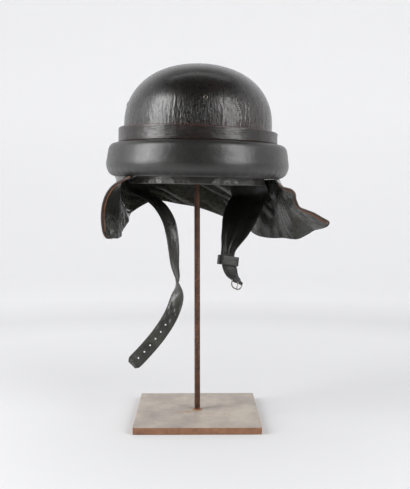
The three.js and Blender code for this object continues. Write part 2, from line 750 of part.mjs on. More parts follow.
const helmet = new THREE.Group();
helmet.position.z = rimHeight;
helmet.rotation.order = 'YZX';
helmet.rotation.z = THREE.MathUtils.degToRad(helmetTurn);
helmet.rotation.y = THREE.MathUtils.degToRad(helmetLean);
helmet.add(
  piece('crown', piercedCrown(), crownLeather),
  piece('crown_band', bandGeometry(), crownLeather),
  piece('brim_roll', rollGeometry(), rollLeather),
  piece('headband', headbandGeometry(), strapLeather),
  piece('neck_curtain', curtainGeometry(), flapLeather),
  piece('edge_piping_left', pipingGeometry(0, 0.05), pipingLeather),
  piece('edge_piping_right', pipingGeometry(1, 0.05), pipingLeather),
  piece('chin_strap_long', longStrapGeometry(), strapLeather),
  piece('chin_strap_short', shortStrapGeometry(), strapLeather),
  piece('strap_keeper', keeperGeometry(), strapLeather),
  piece('stand_cap', capGeometry(), rustySteel),
  buckle,
);
for (const { name, angle } of eyelets) {
  const eyelet = piece(name, eyeletGeometry(), brightSteel);
  eyeletPlace(angle).decompose(eyelet.position, eyelet.quaternion, eyelet.scale);
  helmet.add(eyelet);
}

const group = new THREE.Group();
group.add(
  piece('stand_base', plateGeometry(), rustySteel),
  piece('stand_rod', rodGeometry(), rustySteel),
  helmet,
);

export default group;
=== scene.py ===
"""Looks of a leather flying helmet on its plain steel stand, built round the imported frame.

Each new piece is a grid of points worked out with numpy, in the helmet's own millimetres
(X to the wearer's left, front at -Y, zero height at the rim), and then put on its stand.
Angles round the head are in degrees from the front towards +X.
"""

import math

import bmesh
import bpy
import numpy as np
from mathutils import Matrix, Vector


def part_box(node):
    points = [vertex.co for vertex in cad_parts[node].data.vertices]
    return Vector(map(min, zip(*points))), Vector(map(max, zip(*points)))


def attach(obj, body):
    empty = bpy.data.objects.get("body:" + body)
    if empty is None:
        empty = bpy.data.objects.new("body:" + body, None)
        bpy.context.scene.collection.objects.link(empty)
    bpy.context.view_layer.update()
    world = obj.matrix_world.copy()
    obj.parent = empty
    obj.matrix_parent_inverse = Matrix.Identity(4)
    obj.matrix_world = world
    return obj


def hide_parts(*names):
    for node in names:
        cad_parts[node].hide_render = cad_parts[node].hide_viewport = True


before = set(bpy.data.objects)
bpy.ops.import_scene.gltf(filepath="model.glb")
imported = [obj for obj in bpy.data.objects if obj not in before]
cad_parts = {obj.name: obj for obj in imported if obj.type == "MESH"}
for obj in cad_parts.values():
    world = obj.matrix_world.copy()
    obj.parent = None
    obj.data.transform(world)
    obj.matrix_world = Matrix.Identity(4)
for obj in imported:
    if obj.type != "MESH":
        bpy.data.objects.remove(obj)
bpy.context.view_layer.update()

HELMET = "helmet_and_stand"

# The driving sizes of the frame, in millimetres and degrees.
RIM_HEIGHT, HELMET_TURN, HELMET_LEAN = 356.0, 4.5, 1.0
CLEARANCE = 0.3
HALF_WIDTH, HALF_LENGTH, CROWN_HEIGHT, SIDE_HEIGHT = 107.0, 124.0, 162.5, 75.0
CROWN_WALL, ROUNDNESS = 9.0, 2.2
ROLL_WIDTH, ROLL_HEIGHT = 25.5, 48.0
BAND_HEIGHT, BAND_THICKNESS, BAND_SLOPE = 19.0, 8.2, 2.4
HEADBAND_THICKNESS, HEADBAND_RISE, HEADBAND_DROP = 2.2, 20.0, 10.0
CURTAIN_INSET, CURTAIN_DROP, CURTAIN_WALL, PIPING = 12.0, 90.0, 2.0, 3.0
CURTAIN_LENGTH = 640.0
LONG_STRAP, SHORT_STRAP, STRAP_WIDTH, STRAP_WALL = 340.0, 180.0, 22.0, 2.0
WIRE, BOW_DEPTH, BUCKLE_HANG = 2.0, 10.9, 54.0
KEEPER_LENGTH, KEEPER_WIDTH, KEEPER_FROM_END = 14.0, 29.0, 38.0
HOLES, HOLE_PITCH, FIRST_HOLE, HOLE_RADIUS, SLIT_FROM_END = 6, 12.5, 14.0, 1.2, 262.0
BAR_BORE, SEAM_INSET, EYELET_HEIGHT = 1.35, 2.6, 104.0
# The curtain's round lower corner, and how far its middle lies inside a square one each way.
CORNER_RADIUS, CORNER_CUT = 8.0, 2.34
KEEPER_TILT, KEEPER_TURN, PRONG_LENGTH, PRONG_RADIUS = 20.0, 8.0, 12.4, 0.72
# Mean radii in mm that turn angles round the head into lengths along the leather.
CROWN_GIRTH, BAND_GIRTH, ROLL_GIRTH, HEADBAND_GIRTH = 112.0, 118.0, 130.0, 108.0


# ---------------------------------------------------------------- camera and stage


# The photograph's camera, worked out from the plate's corners, and the paper wall behind the part.
CAMERA_PLACE, CAMERA_TILT, CAMERA_PAN, CAMERA_LENS = (0.0, -1.1389, 0.3443), 4.35, 0.58, 56.93
WALL_AWAY, WALL_BEND, WALL_REACH = 2.5, 0.7, 98.0


def make_camera():
    """Camera of the photograph: 1.14 m in front, level with the rim, tilted 4.35 degrees down."""
    tilt, pan = math.radians(CAMERA_TILT), math.radians(CAMERA_PAN)
    camera = bpy.data.objects.new("camera", bpy.data.cameras.new("camera"))
    bpy.context.scene.collection.objects.link(camera)
    camera.location = CAMERA_PLACE
    forward = Vector((math.sin(pan) * math.cos(tilt), math.cos(pan) * math.cos(tilt), -math.sin(tilt)))
    camera.rotation_euler = forward.to_track_quat("-Z", "Y").to_euler()
    camera.data.lens, camera.data.sensor_width = CAMERA_LENS, 36.0
    bpy.context.scene.camera = camera


make_camera()


# ---------------------------------------------------------------- helpers for shapes


def smooth(value):
    """Eases 0..1 with 3t^2 - 2t^3, clamped outside."""
    t = np.clip(value, 0.0, 1.0)
    return t * t * (3.0 - 2.0 * t)


def hill(value, centre, spread):
    """Bell of height 1: exp of minus the square of the distance over the spread."""
    return np.exp(-(((value - centre) / spread) ** 2))


def noise(x, y, z, seed, octaves=2):
    """Random numbers on a cubic lattice, eased between, with finer layers of half the height."""
    table = np.random.default_rng(seed).random((32, 32, 32))
    x, y, z = np.broadcast_arrays(x, y, z)
    total, height, whole = np.zeros(x.shape), 1.0, 0.0
    for _ in range(octaves):
        cells = [np.floor(c).astype(int) for c in (x, y, z)]
        parts = [smooth(c - i) for c, i in zip((x, y, z), cells)]
        for corner in range(8):
            bits = [(corner >> k) & 1 for k in range(3)]
            share = np.prod([p if b else 1.0 - p for p, b in zip(parts, bits)], axis=0)
            total = total + height * share * table[tuple((i + b) % 32 for i, b in zip(cells, bits))]
        whole += height
        height *= 0.5
        x, y, z = x * 2.03 + 7.1, y * 2.03 + 3.3, z * 2.03 + 5.7
    return total / whole


def sway(x, y, seed, octaves=2, z=0):
    """Noise that sways about zero, by at most a half each way."""
    return noise(x, y, z, seed, octaves) - 0.5


def ridges(x, y, seed, sharpness=3.0, octaves=2):
    """Noise folded about its middle, so that its middle values stand up as thin ridges."""
    return (1.0 - np.abs(2.0 * noise(x, y, np.zeros_like(x), seed, octaves) - 1.0)) ** sharpness


def column(rows, key, t):
    """Smooth value of a table's column, t from 0 at the first row to 1 at the last."""
    values = np.array([row[key] for row in rows], float)
    place = np.clip(t, 0, 1) * (len(values) - 1)
    i = np.minimum(np.floor(place).astype(int), len(values) - 2)
    f = place - i
    at = lambda k: values[np.clip(k, 0, len(values) - 1)]
    rise, next_rise = (at(i + 1) - at(i - 1)) / 2, (at(i + 2) - at(i)) / 2
    return (
        (2 * f**3 - 3 * f**2 + 1) * at(i) + (f**3 - 2 * f**2 + f) * rise
        + (3 * f**2 - 2 * f**3) * at(i + 1) + (f**3 - f**2) * next_rise
    )


def unit(vectors):
    """Vectors of length one."""
    return vectors / np.maximum(np.linalg.norm(vectors, axis=-1, keepdims=True), 1e-12)


def xyz(x, y, z):
    """Points from their three coordinates."""
    return np.stack(np.broadcast_arrays(x, y, z), -1).astype(float)


def curve(points, t):
    """Centripetal Catmull-Rom curve through the points, t from 0 to 1 by point number."""
    points = np.asarray(points, float)
    place = np.clip(t, 0, 1) * (len(points) - 1)
    i = np.minimum(np.floor(place).astype(int), len(points) - 2)
    w = (place - i)[..., None]
    longer = np.vstack([2 * points[0] - points[1], points, 2 * points[-1] - points[-2]])
    a, b, c, d = longer[i], longer[i + 1], longer[i + 2], longer[i + 3]
    knot = lambda p, q: np.maximum(np.sum((p - q) ** 2, -1, keepdims=True) ** 0.25, 1e-4)
    ab, bc, cd = knot(a, b), knot(b, c), knot(c, d)
    r1 = ((b - a) / ab - (c - a) / (ab + bc) + (c - b) / bc) * bc
    r2 = ((c - b) / bc - (d - b) / (bc + cd) + (d - c) / cd) * bc
    return b + w * (r1 + w * ((-3 * b + 3 * c - 2 * r1 - r2) + w * (2 * b - 2 * c + r1 + r2)))


def worn(points):
    """From the helmet's millimetres to the frame: turned, leaned, lifted to the rim's height."""
    x, y, z = np.moveaxis(np.asarray(points, float), -1, 0)
    turn, lean = math.radians(HELMET_TURN), math.radians(HELMET_LEAN)
    x, y = math.cos(turn) * x - math.sin(turn) * y, math.sin(turn) * x + math.cos(turn) * y
    x, z = math.cos(lean) * x + math.sin(lean) * z, -math.sin(lean) * x + math.cos(lean) * z
    return np.stack([x, y, z + RIM_HEIGHT], -1) / 1000.0


def grid_normals(points):
    """Normals of a grid: the cross product of its differences along rows and columns."""
    return unit(np.cross(np.gradient(points, axis=0), np.gradient(points, axis=1)))


def circle(count):
    """Angles once round in radians; the last is the same place as the first."""
    return np.linspace(0, 2 * math.pi, count)


def uv_pairs(across, along):
    """UV map in metres from its two coordinates."""
    return np.stack(np.broadcast_arrays(across, along), -1)


def run_length(*coordinates):
    """Length run along a line of points, up to each of them."""
    return np.concatenate([[0], np.cumsum(np.sqrt(sum(np.diff(c) ** 2 for c in coordinates)))])


def quads(rows, columns):
    """Corner numbers of the quads of a grid."""
    n = np.arange(rows * columns).reshape(rows, columns)
    return np.stack([n[:-1, :-1], n[1:, :-1], n[1:, 1:], n[:-1, 1:]], -1).reshape(-1, 4)


def mark_points(mesh, marks):
    """Stores each mark's values at the points of a mesh."""
    for key, values in marks.items():
        mark = mesh.attributes.new(key, "FLOAT", "POINT")
        mark.data.foreach_set("value", np.ascontiguousarray(values, np.float32).ravel())


def mesh_object(name, vertices, faces, uv=None, marks=None):
    """Mesh from corners in metres and quads, equal corners merged, shaded smooth up to 40 degrees."""
    a, b, c, d = (vertices[faces[:, k]] for k in range(4))
    volume = np.sum(a * (np.cross(b, c) + np.cross(c, d)))
    if volume < 0:
        faces = faces[:, ::-1]
    mesh = bpy.data.meshes.new(name)
    mesh.from_pydata(vertices.tolist(), [], faces.tolist())
    if uv is not None:
        layer = mesh.uv_layers.new(name="uv")
        layer.data.foreach_set("uv", uv[faces.ravel()].astype(np.float32).ravel())
    mark_points(mesh, marks or {})
    joined = bmesh.new()
    joined.from_mesh(mesh)
    bmesh.ops.remove_doubles(joined, verts=joined.verts, dist=1e-6)
    joined.to_mesh(mesh)
    joined.free()
    mesh.polygons.foreach_set("use_smooth", np.ones(len(mesh.polygons), bool))
    mesh.set_sharp_from_angle(angle=math.radians(40))
    thing = bpy.data.objects.new(name, mesh)
    bpy.context.scene.collection.objects.link(thing)
    return thing


def from_grids(name, grids, uv=None, marks=None):
    """One mesh from grids of points: each point is joined to its neighbours by quads."""
    vertices, faces, start = [], [], 0
    for grid in grids:
        rows, columns = grid.shape[:2]
        faces.append(quads(rows, columns) + start)
        vertices.append(grid.reshape(-1, 3))
        start += rows * columns
    uv = None if uv is None else uv.reshape(-1, 2)
    marks = {key: np.broadcast_to(v, grids[0].shape[:2]).reshape(-1) for key, v in (marks or {}).items()}
    return mesh_object(name, np.concatenate(vertices), np.concatenate(faces), uv, marks)


def placed(thing, body, slot, material, *nodes):
    """Gives a piece its body, its material and the frame nodes it stands for; the slot is not used."""
    thing.data.materials.append(material)
    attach(thing, body)
    if nodes:
        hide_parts(*nodes)
    return thing


def tube(path, side, radius, sides):
    """Round tube: a circle carried along a path, its radius even or one per point, a dome at each end."""
    path = np.asarray(path, float)
    radius = np.broadcast_to(np.asarray(radius, float), len(path))
    way = unit(np.gradient(path, axis=0))
    side = np.broadcast_to(side, path.shape)
    side = unit(side - way * np.sum(side * way, -1, keepdims=True))
    third = np.cross(way, side)
    cap = np.linspace(0, math.pi / 2, 5)[:-1]
    start = [path[0] - way[0] * radius[0] * math.cos(c) * 0.6 for c in cap]
    end = [path[-1] + way[-1] * radius[-1] * math.cos(c) * 0.6 for c in cap[::-1]]
    middle = np.concatenate([start, path, end])
    size = np.concatenate([np.sin(cap) * radius[0], radius, np.sin(cap[::-1]) * radius[-1]])
    side = np.concatenate([side[:1].repeat(4, 0), side, side[-1:].repeat(4, 0)])
    third = np.concatenate([third[:1].repeat(4, 0), third, third[-1:].repeat(4, 0)])
    turn = circle(sides + 1)
    ring = np.cos(turn)[None, :, None] * side[:, None] + np.sin(turn)[None, :, None] * third[:, None]
    return middle[:, None] + ring * size[:, None, None]


def turned(rows, sides=48):
    """Solid of revolution about Z: each row is (radius, height)."""
    turn = circle(sides + 1)[:, None]
    radius, height = np.array(rows, float).T
    return xyz(radius * np.cos(turn), radius * np.sin(turn), height)


def pin(radius, reach, sides):
    """Closed cylinder about Z that reaches equally far both ways."""
    return turned([(0, -reach), (radius, -reach), (radius, reach), (0, reach)], sides)


def table(keys, rows):
    """Rows of numbers as dictionaries by key."""
    return [dict(zip(keys.split(), row)) for row in rows]


def set_in(points, x, y, z, place):
    """Puts points made in their own axes along the given ways at a place."""
    return points[..., :1] * x + points[..., 1:2] * y + points[..., 2:] * z + place


def stitch_row(name, places, along, up, length, thickness):
    """A row of stitches: one small spindle, half sunk, copied to each place by whole arrays."""
    t, turn = np.linspace(0, math.pi, 7)[:, None], circle(7)
    thin = np.sin(t) * thickness / 2
    spindle = xyz(-np.cos(t) * length / 2, thin * np.cos(turn), thin * np.sin(turn))
    along, up = unit(along)[:, None], unit(up)[:, None]
    base = spindle.reshape(1, -1, 3)
    vertices = set_in(base, along, np.cross(up, along), up, places[:, None])
    starts = np.arange(len(places))[:, None, None] * base.shape[1]
    faces = (quads(*spindle.shape[:2])[None] + starts).reshape(-1, 4)
    return mesh_object(name, worn(vertices.reshape(-1, 3)), faces)


def pierced(thing, cutters):
    """Cuts closed shapes out of a piece and keeps the result as its mesh."""
    cutter = from_grids(thing.name + "_cutter", cutters)
    cut = thing.modifiers.new("holes", "BOOLEAN")
    cut.operation, cut.solver, cut.object = "DIFFERENCE", "EXACT", cutter
    whole = len(thing.data.vertices)
    made = bpy.data.meshes.new_from_object(thing.evaluated_get(bpy.context.evaluated_depsgraph_get()))
    thing.modifiers.clear()
    if len(made.vertices) > whole * 0.8:
        thing.data = made
        thing.data.set_sharp_from_angle(angle=math.radians(40))
    bpy.data.objects.remove(cutter)
    return thing


# ---------------------------------------------------------------- helpers for materials


def tone(code):
    """Linear colour of an sRGB hex value."""
    parts = [int(code[i : i + 2], 16) / 255 for i in (1, 3, 5)]
    return (*(p / 12.92 if p <= 0.04045 else ((p + 0.055) / 1.055) ** 2.4 for p in parts), 1.0)


def add(tree, kind, links=None, stops=None, **settings):
    """Adds a node: its settings, its inputs as values or other nodes' outputs, its ramp's stops."""
    node = tree.nodes.new(kind)
    for key, value in settings.items():
        setattr(node, key, value)
    for key, value in (links or {}).items():
        if isinstance(value, bpy.types.NodeSocket):
            tree.links.new(value, node.inputs[key])
        else:
            node.inputs[key].default_value = value
    if stops:
        ramp = node.color_ramp
        while len(ramp.elements) < len(stops):
            ramp.elements.new(0.5)
        for element, (place, value) in zip(ramp.elements, stops):
            element.position = place
            element.color = value if hasattr(value, "__len__") else (value, value, value, 1.0)
    return node


def finished(name, tree_maker, **surface):
    """A material with one Principled shader, whose linked inputs come from the maker."""
    material = bpy.data.materials.new(name)
    material.use_nodes = True
    tree = material.node_tree
    tree.nodes.clear()
    shader = add(tree, "ShaderNodeBsdfPrincipled", surface)
    for key, socket in tree_maker(tree).items():
        tree.links.new(socket, shader.inputs[key])
    output = add(tree, "ShaderNodeOutputMaterial")
    tree.links.new(shader.outputs["BSDF"], output.inputs["Surface"])
    return material


def cloud(tree, place, size, detail, rough, twist=0.0):
    """Cloudy noise with grains of a size in mm, read at a place in metres."""
    links = {"Vector": place, "Scale": 1000 / size, "Detail": detail, "Roughness": rough, "Distortion": twist}
    return add(tree, "ShaderNodeTexNoise", links).outputs["Fac"]


def ranged(tree, value, low, high, least=0.0, most=1.0):
    """A value's range from low to high stretched to the one from least to most, clamped there."""
    links = {"Value": value, "From Min": low, "From Max": high, "To Min": least, "To Max": most}
    return add(tree, "ShaderNodeMapRange", links).outputs[0]


def worked(tree, operation, a, b):
    """Two values put together by an operation."""
    return add(tree, "ShaderNodeMath", {0: a, 1: b}, operation=operation).outputs[0]


def own_mark(tree, key):
    """A mark that the piece's mesh carries at its points."""
    return add(tree, "ShaderNodeAttribute", attribute_name=key).outputs["Fac"]


def two_tones(tree, share, low, first, high, second):
    """Colour that runs from a first tone, up to a share, to a second one from another share."""
    return add(
        tree, "ShaderNodeValToRGB", {"Fac": share}, [(low, tone(first)), (high, tone(second))]
    ).outputs["Color"]


def covered(tree, share, colour, code):
    """A colour covered by a tone, by a share."""
    return add(tree, "ShaderNodeMix", {0: share, 6: colour, 7: tone(code)}, data_type="RGBA").outputs[2]


def bump(tree, strength, depth, height, **under):
    """Normal bent by a height, its depth in metres, over another one where given."""
    return add(
        tree, "ShaderNodeBump", {"Strength": strength, "Distance": depth, "Height": height, **under}
    ).outputs[0]


def leather(
    name, dark, light, bare, gloss, *, depth, wear, wax, grain=0.9, crease=(3.0, 18.0), patch=28.0,
    scuff=5.0, shade_marked=False
):
    """Leather read from the piece's UV map, which is in metres.

    dark and light: the dye's two tones, mixed in patches of the given size in mm. bare: the
    colour where the dye is rubbed off, shown by the piece's own mark 'wear'. gloss: least and
    most roughness. grain: pore spacing in mm. crease: width and length in mm of the fine
    creases, depth in mm of the deepest, shown by the piece's own mark 'wrinkle'. wax: how
    much of the surface a polished coat covers. scuff: size of the rubbed spots in mm.
    shade flag (the last argument): whether the piece's own mark of painted shade takes away the leather's
    shine and coat there, so that it reads dark as shade."""

    def make(tree):
        """The shader's inputs by name."""
        uv = add(tree, "ShaderNodeUVMap", uv_map="uv").outputs["UV"]
        dye = two_tones(tree, cloud(tree, uv, patch, 4.0, 0.6), 0.35, dark, 0.68, light)
        scuffs = cloud(tree, uv, scuff, 5.0, 0.6)
        rubbed = ranged(tree, worked(tree, "MULTIPLY", own_mark(tree, "wear"), scuffs), 0.22, 0.62, 0.0, wear)
        scale = (1000 / crease[0], 1000 / crease[1], 1.0)
        stretched = add(tree, "ShaderNodeMapping", {"Vector": uv, "Scale": scale}).outputs[0]
        lines = ranged(tree, cloud(tree, stretched, 1000, 3.0, 0.55, 0.6), 0.3, 0.7)
        lines = worked(tree, "MULTIPLY", lines, own_mark(tree, "wrinkle"))
        pores = add(tree, "ShaderNodeTexVoronoi", {"Vector": uv, "Scale": 1000 / grain}).outputs["Distance"]
        sockets = {
            "Base Color": covered(tree, rubbed, dye, bare),
            "Roughness": ranged(tree, scuffs, 0.3, 0.7, *gloss),
            "Normal": bump(tree, 1.0, depth / 1000, lines, Normal=bump(tree, 0.35, 0.00012, pores)),
        }
        if shade_marked:
            dull = own_mark(tree, "dull")
            sockets["Specular IOR Level"] = ranged(tree, dull, 0.0, 1.0, 0.5, 0.06)
            sockets["Coat Weight"] = ranged(tree, dull, 0.0, 1.0, wax, 0.0)
        return sockets

    return finished(name, make, **{"IOR": 1.5, "Coat Weight": wax, "Coat Roughness": gloss[0]})


def steel(name, clean, stain, rust, gloss, *, spot, amount, metallic):
    """Steel left raw: tones mixed in cloudy patches, rust in spots, fine pitting.

    clean and stain: the two tones, in patches of the spot's size in mm. rust: the tone of the
    spots, which the piece's own mark 'rust' adds to. amount: where the spots' noise starts and
    ends to show. gloss: least and most roughness."""

    def make(tree):
        """The shader's inputs by name."""
        place = add(tree, "ShaderNodeTexCoord").outputs["Object"]
        base = two_tones(tree, cloud(tree, place, spot, 6.0, 0.65), 0.3, stain, 0.65, clean)
        flecks = cloud(tree, place, spot * 0.35, 8.0, 0.75)
        rusty = ranged(tree, worked(tree, "ADD", flecks, own_mark(tree, "rust")), *amount)
        return {
            "Base Color": covered(tree, rusty, base, rust),
            "Roughness": ranged(tree, flecks, 0.3, 0.7, *gloss),
            "Normal": bump(tree, 0.3, 0.0002, cloud(tree, place, 0.8, 2.0, 0.5)),
        }

    return finished(name, make, Metallic=metallic)


# Calf leather waxed over moulded cork: near black with a soft wide shine, red-brown where rubbed.
crown_leather = leather(
    "waxed_calf_leather", "#0c0b0a", "#171411", "#3b2219", (0.24, 0.40), crease=(1.7, 6.5), depth=0.5,
    wear=0.4, wax=0.5
)
# The same leather on the band, rubbed down to red-brown along both edges.
band_leather = leather(
    "rubbed_calf_leather", "#13100e", "#221814", "#54302a", (0.27, 0.47), crease=(16.0, 1.8), depth=0.6,
    wear=0.6, patch=14, wax=0.3
)
# Smooth sheepskin stretched over horsehair: faint creases only, a broad even highlight; along its underside
# the shine is taken off as painted shade.
roll_leather = leather(
    "stretched_sheepskin", "#161615", "#232220", "#332d28", (0.37, 0.50), grain=0.7, crease=(9.0, 7.0),
    depth=0.35, wear=0.4, patch=40, wax=0.5, shade_marked=True
)
# Thin glove leather, dyed and crumpled: black-green, sharp little glints on its crinkles; where its mark of
# painted shade lies, the shine is taken off.
flap_leather = leather(
    "crumpled_glove_leather", "#151612", "#25261f", "#4c4c44", (0.18, 0.36), grain=0.8, crease=(4.5, 7.0),
    depth=0.9, wear=0.6, patch=30, wax=0.4, scuff=11.0, shade_marked=True
)
# Strap leather, two layers sewn: grey-black, duller than the crown, a raised seam at its edges.
strap_leather = leather(
    "sewn_strap_leather", "#2b2b29", "#3f3f3a", "#57534b", (0.30, 0.46), grain=0.7, crease=(7.0, 4.0),
    depth=0.35, wear=0.35, patch=18, wax=0.3
)
# Narrow binding leather, dyed near black, its dye worn to brown in places along the ridge.
piping_leather = leather(
    "brown_binding_leather", "#17110d", "#241812", "#5a3b29", (0.42, 0.6), grain=0.6, crease=(1.2, 1.2),
    depth=0.1, wear=0.6, patch=9, wax=0.15
)
# The keeper's and the short strap's leather: the same, but duller, and dyed blacker as painted shade for the
# shade these parts hang in.
shaded_strap_leather = leather(
    "strap_leather_in_painted_shade", "#161614", "#21211e", "#3a362f", (0.38, 0.55), grain=0.7, crease=(5.0, 3.0),
    depth=0.45, wear=0.35, patch=12, wax=0.12
)
# Waxed linen thread, dark on the straps and brown along the flaps.
thread = leather(
    "waxed_linen_thread", "#2b2722", "#3b352d", "#5a5044", (0.5, 0.62), grain=0.3, depth=0.05, wear=0.2,
    wax=0.1
)
brown_thread = leather(
    "brown_linen_thread", "#6e4630", "#8f5e40", "#a8714a", (0.5, 0.65), grain=0.3, depth=0.05, wear=0.2,
    wax=0.0
)
# Hot rolled steel plate, waxed: warm grey, cloudy, with thin rust stains.
plate_top = steel(
    "waxed_rolled_steel", "#bdb2a5", "#968c85", "#a8876a", (0.42, 0.62), spot=46, amount=(0.72, 1.0),
    metallic=0.15
)
# The same plate's cut edge, rusted an even brown.
plate_edge = steel(
    "rusted_cut_steel", "#9a6f54", "#7d5841", "#a87957", (0.6, 0.8), spot=16, amount=(0.5, 0.8),
    metallic=0.1
)
# Round bar, rusted dark brown, with lighter rubbed streaks.
rod_steel = steel(
    "rusted_round_bar", "#5a3826", "#2e1b10", "#8c5f44", (0.5, 0.7), spot=11, amount=(0.54, 0.74),
    metallic=0.15
)
# Nickelled steel wire: bright, slightly dulled.
bright_steel = steel(
    "nickelled_steel", "#a29e96", "#7d7971", "#5f5a50", (0.16, 0.30), spot=5, amount=(0.66, 0.9),
    metallic=1.0
)
# Blackened brass of the vent eyelets, its lacquer rubbed at the rim.
eyelet_metal = steel(
    "blackened_brass", "#7b776d", "#3c3934", "#9d9887", (0.3, 0.45), spot=4, amount=(0.55, 0.75),
    metallic=0.9
)


# ---------------------------------------------------------------- stand


def square_ring(half, corner):
    """Rounded square: four straight sides joined by arcs of the corner's radius."""
    points = []
    for k in range(4):
        turn = k * math.pi / 2 + np.linspace(-math.pi / 4, math.pi / 4, 41)[:-1]
        reach = np.tan(turn - k * math.pi / 2)
        inner = half - corner
        x, y = np.full_like(reach, half), reach * half
        past = np.abs(y) > inner
        arc = (np.abs(y) - inner) / max(corner, 1e-9) * math.pi / 4
        x = np.where(past, inner + corner * np.cos(arc), x)
        y = np.where(past, np.sign(y) * (inner + corner * np.sin(arc)), y)
        c, s = math.cos(k * math.pi / 2), math.sin(k * math.pi / 2)
        points.append(np.stack([c * x - s * y, s * x + c * y], -1))
    ring = np.concatenate(points)
    return np.concatenate([ring, ring[:1]])


# Stains on the plate: strength, then middle and spread along X and along Y in mm.
STAINS = [(0.42, -20, 13, -14, 6), (0.30, -34, 16, -22, 8), (0.32, -6, 9, -9, 4), (0.22, 22, 26, -24, 9)]


def make_plate():
    """Square plate: rings that grow from the middle of the underside, round the edge, and shrink on top."""
    low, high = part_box("stand_base")
    half, height = (high[0] - low[0]) / 2 * 1000, (high[2] - low[2]) * 1000
    edge = 0.7
    rows = [(0.0, 0.0), (half * 0.5, 0.0), (half - edge, 0.0)]
    rows += [(half - edge + edge * math.sin(a), edge - edge * math.cos(a)) for a in (0.5, 1.0, math.pi / 2)]
    rows += [(half, height * f) for f in (0.3, 0.5, 0.7)]
    rows += [
        (half - edge + edge * math.cos(a), height - edge + edge * math.sin(a))
        for a in (0.0, 0.5, 1.0, math.pi / 2)
    ]
    rows += [(half * f, height) for f in np.linspace(0.985, 0.0, 46)]
    rings = [(square_ring(max(r, 1e-6), min(1.2, r * 0.2)), z) for r, z in rows]
    points = np.stack([xyz(ring[:, 0], ring[:, 1], z) for ring, z in rings])
    x, y, z = np.moveaxis(points, -1, 0)
    side = (z > 0.2) & (z < height - 0.2)
    points[..., 0] += np.where(side, 0.25 * sway(x / 5, y / 5, 3, z=z / 5), 0)
    stains = sum(share * hill(x, x0, wide) * hill(y, y0, deep) for share, x0, wide, y0, deep in STAINS)
    stains += 0.5 * hill(np.hypot(x, y), 6, 2.5)
    stains += 0.16 * smooth((np.maximum(np.abs(x), np.abs(y)) - 84) / 6)
    stains += 0.55 * sway(x / 30, y / 30, 4, 3, z / 30)
    scratch = hill(y, -24.5 + 1.6 * np.sin(x / 6), 0.9) * smooth((x - 1) / 6) * smooth((50 - x) / 8)
    plate = from_grids(
        "plate", [points / 1000], marks={"rust": np.where(z > height - 0.4, stains + 0.2 * scratch, 0.0)}
    )
    placed(plate, HELMET, "rusty_steel", plate_top, "stand_base")
    plate.data.materials.append(plate_edge)
    heights = np.zeros(len(plate.data.polygons) * 3)
    plate.data.polygons.foreach_get("normal", heights)
    plate.data.polygons.foreach_set("material_index", (heights.reshape(-1, 3)[:, 2] < 0.5).astype(np.int32))


def make_rod():
    """Round bar: a circle carried up the stand, its radius uneven by a tenth of a millimetre."""
    low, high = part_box("stand_rod")
    radius = (high[0] - low[0]) / 2 * 1000
    foot, head = low[2] * 1000, high[2] * 1000
    height = np.concatenate([[foot, foot], np.linspace(foot, head, 260), [head, head]])
    size = np.full(len(height), radius)
    size[[0, -1]] = 0
    size[[1, -2]] = radius - 0.3
    turn = circle(33)[None]
    x, y = np.cos(turn), np.sin(turn)
    z = height[:, None] + 0 * turn
    uneven = 1 - 0.016 * noise(x * 2, y * 2, z / 9, 6)
    points = xyz(size[:, None] * x * uneven, size[:, None] * y * uneven, z)
    # Painted shade: from 240 mm up the rust mark is lowered, so less of the paler rust colour shows and the
    # rod's top reads darker, as if shaded by the helmet.
    rust = 0.3 * sway(x, y, 8, 3, z / 26) - 0.22 * smooth((z - 240) / 60) + 0.04
    rod = from_grids("rod", [points / 1000], marks={"rust": rust})
    placed(rod, HELMET, "rusty_steel", rod_steel, "stand_rod")
    bead = [(0.2, 10.0), (1.7, 10.05), (1.2, 10.6), (0.5, 11.3), (0.2, 11.4), (0.2, 10.0)]
    bead = turned([(radius + out, up) for out, up in bead])
    weld = from_grids("weld_bead", [bead / 1000], marks={"rust": 0.25})
    placed(weld, HELMET, "rusty_steel", rod_steel)
    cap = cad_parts["stand_cap"]
    cap.data.materials.clear()
    cap.data.materials.append(rod_steel)


# ---------------------------------------------------------------- crown, band, roll, headband


def around(count):
    """Angles in degrees once round the head, starting and ending at the back."""
    return np.linspace(-180.0, 180.0, count + 1)


def oval(angle, across, along, up):
    """Point of an oval ring: across and along are its half width and half length."""
    turn = np.radians(angle)
    return xyz(across * np.sin(turn), -along * np.cos(turn), up)


def carried(angle, out, up):
    """Section carried round the head: how far out of the crown's foot, and how far up."""
    return oval(angle, HALF_WIDTH + out, HALF_LENGTH + out, up)


def dome_rows(wall, count):
    """Half width, half length and height up the dome: a superellipse of power 2.2."""
    turn = np.linspace(0, math.pi / 2, count)
    share, rise = np.cos(turn) ** (2 / ROUNDNESS), np.sin(turn) ** (2 / ROUNDNESS)
    share[-1] = 0.0
    up = SIDE_HEIGHT + (CROWN_HEIGHT - wall - SIDE_HEIGHT) * rise
    return np.stack([(HALF_WIDTH - wall) * share, (HALF_LENGTH - wall) * share, up], -1)


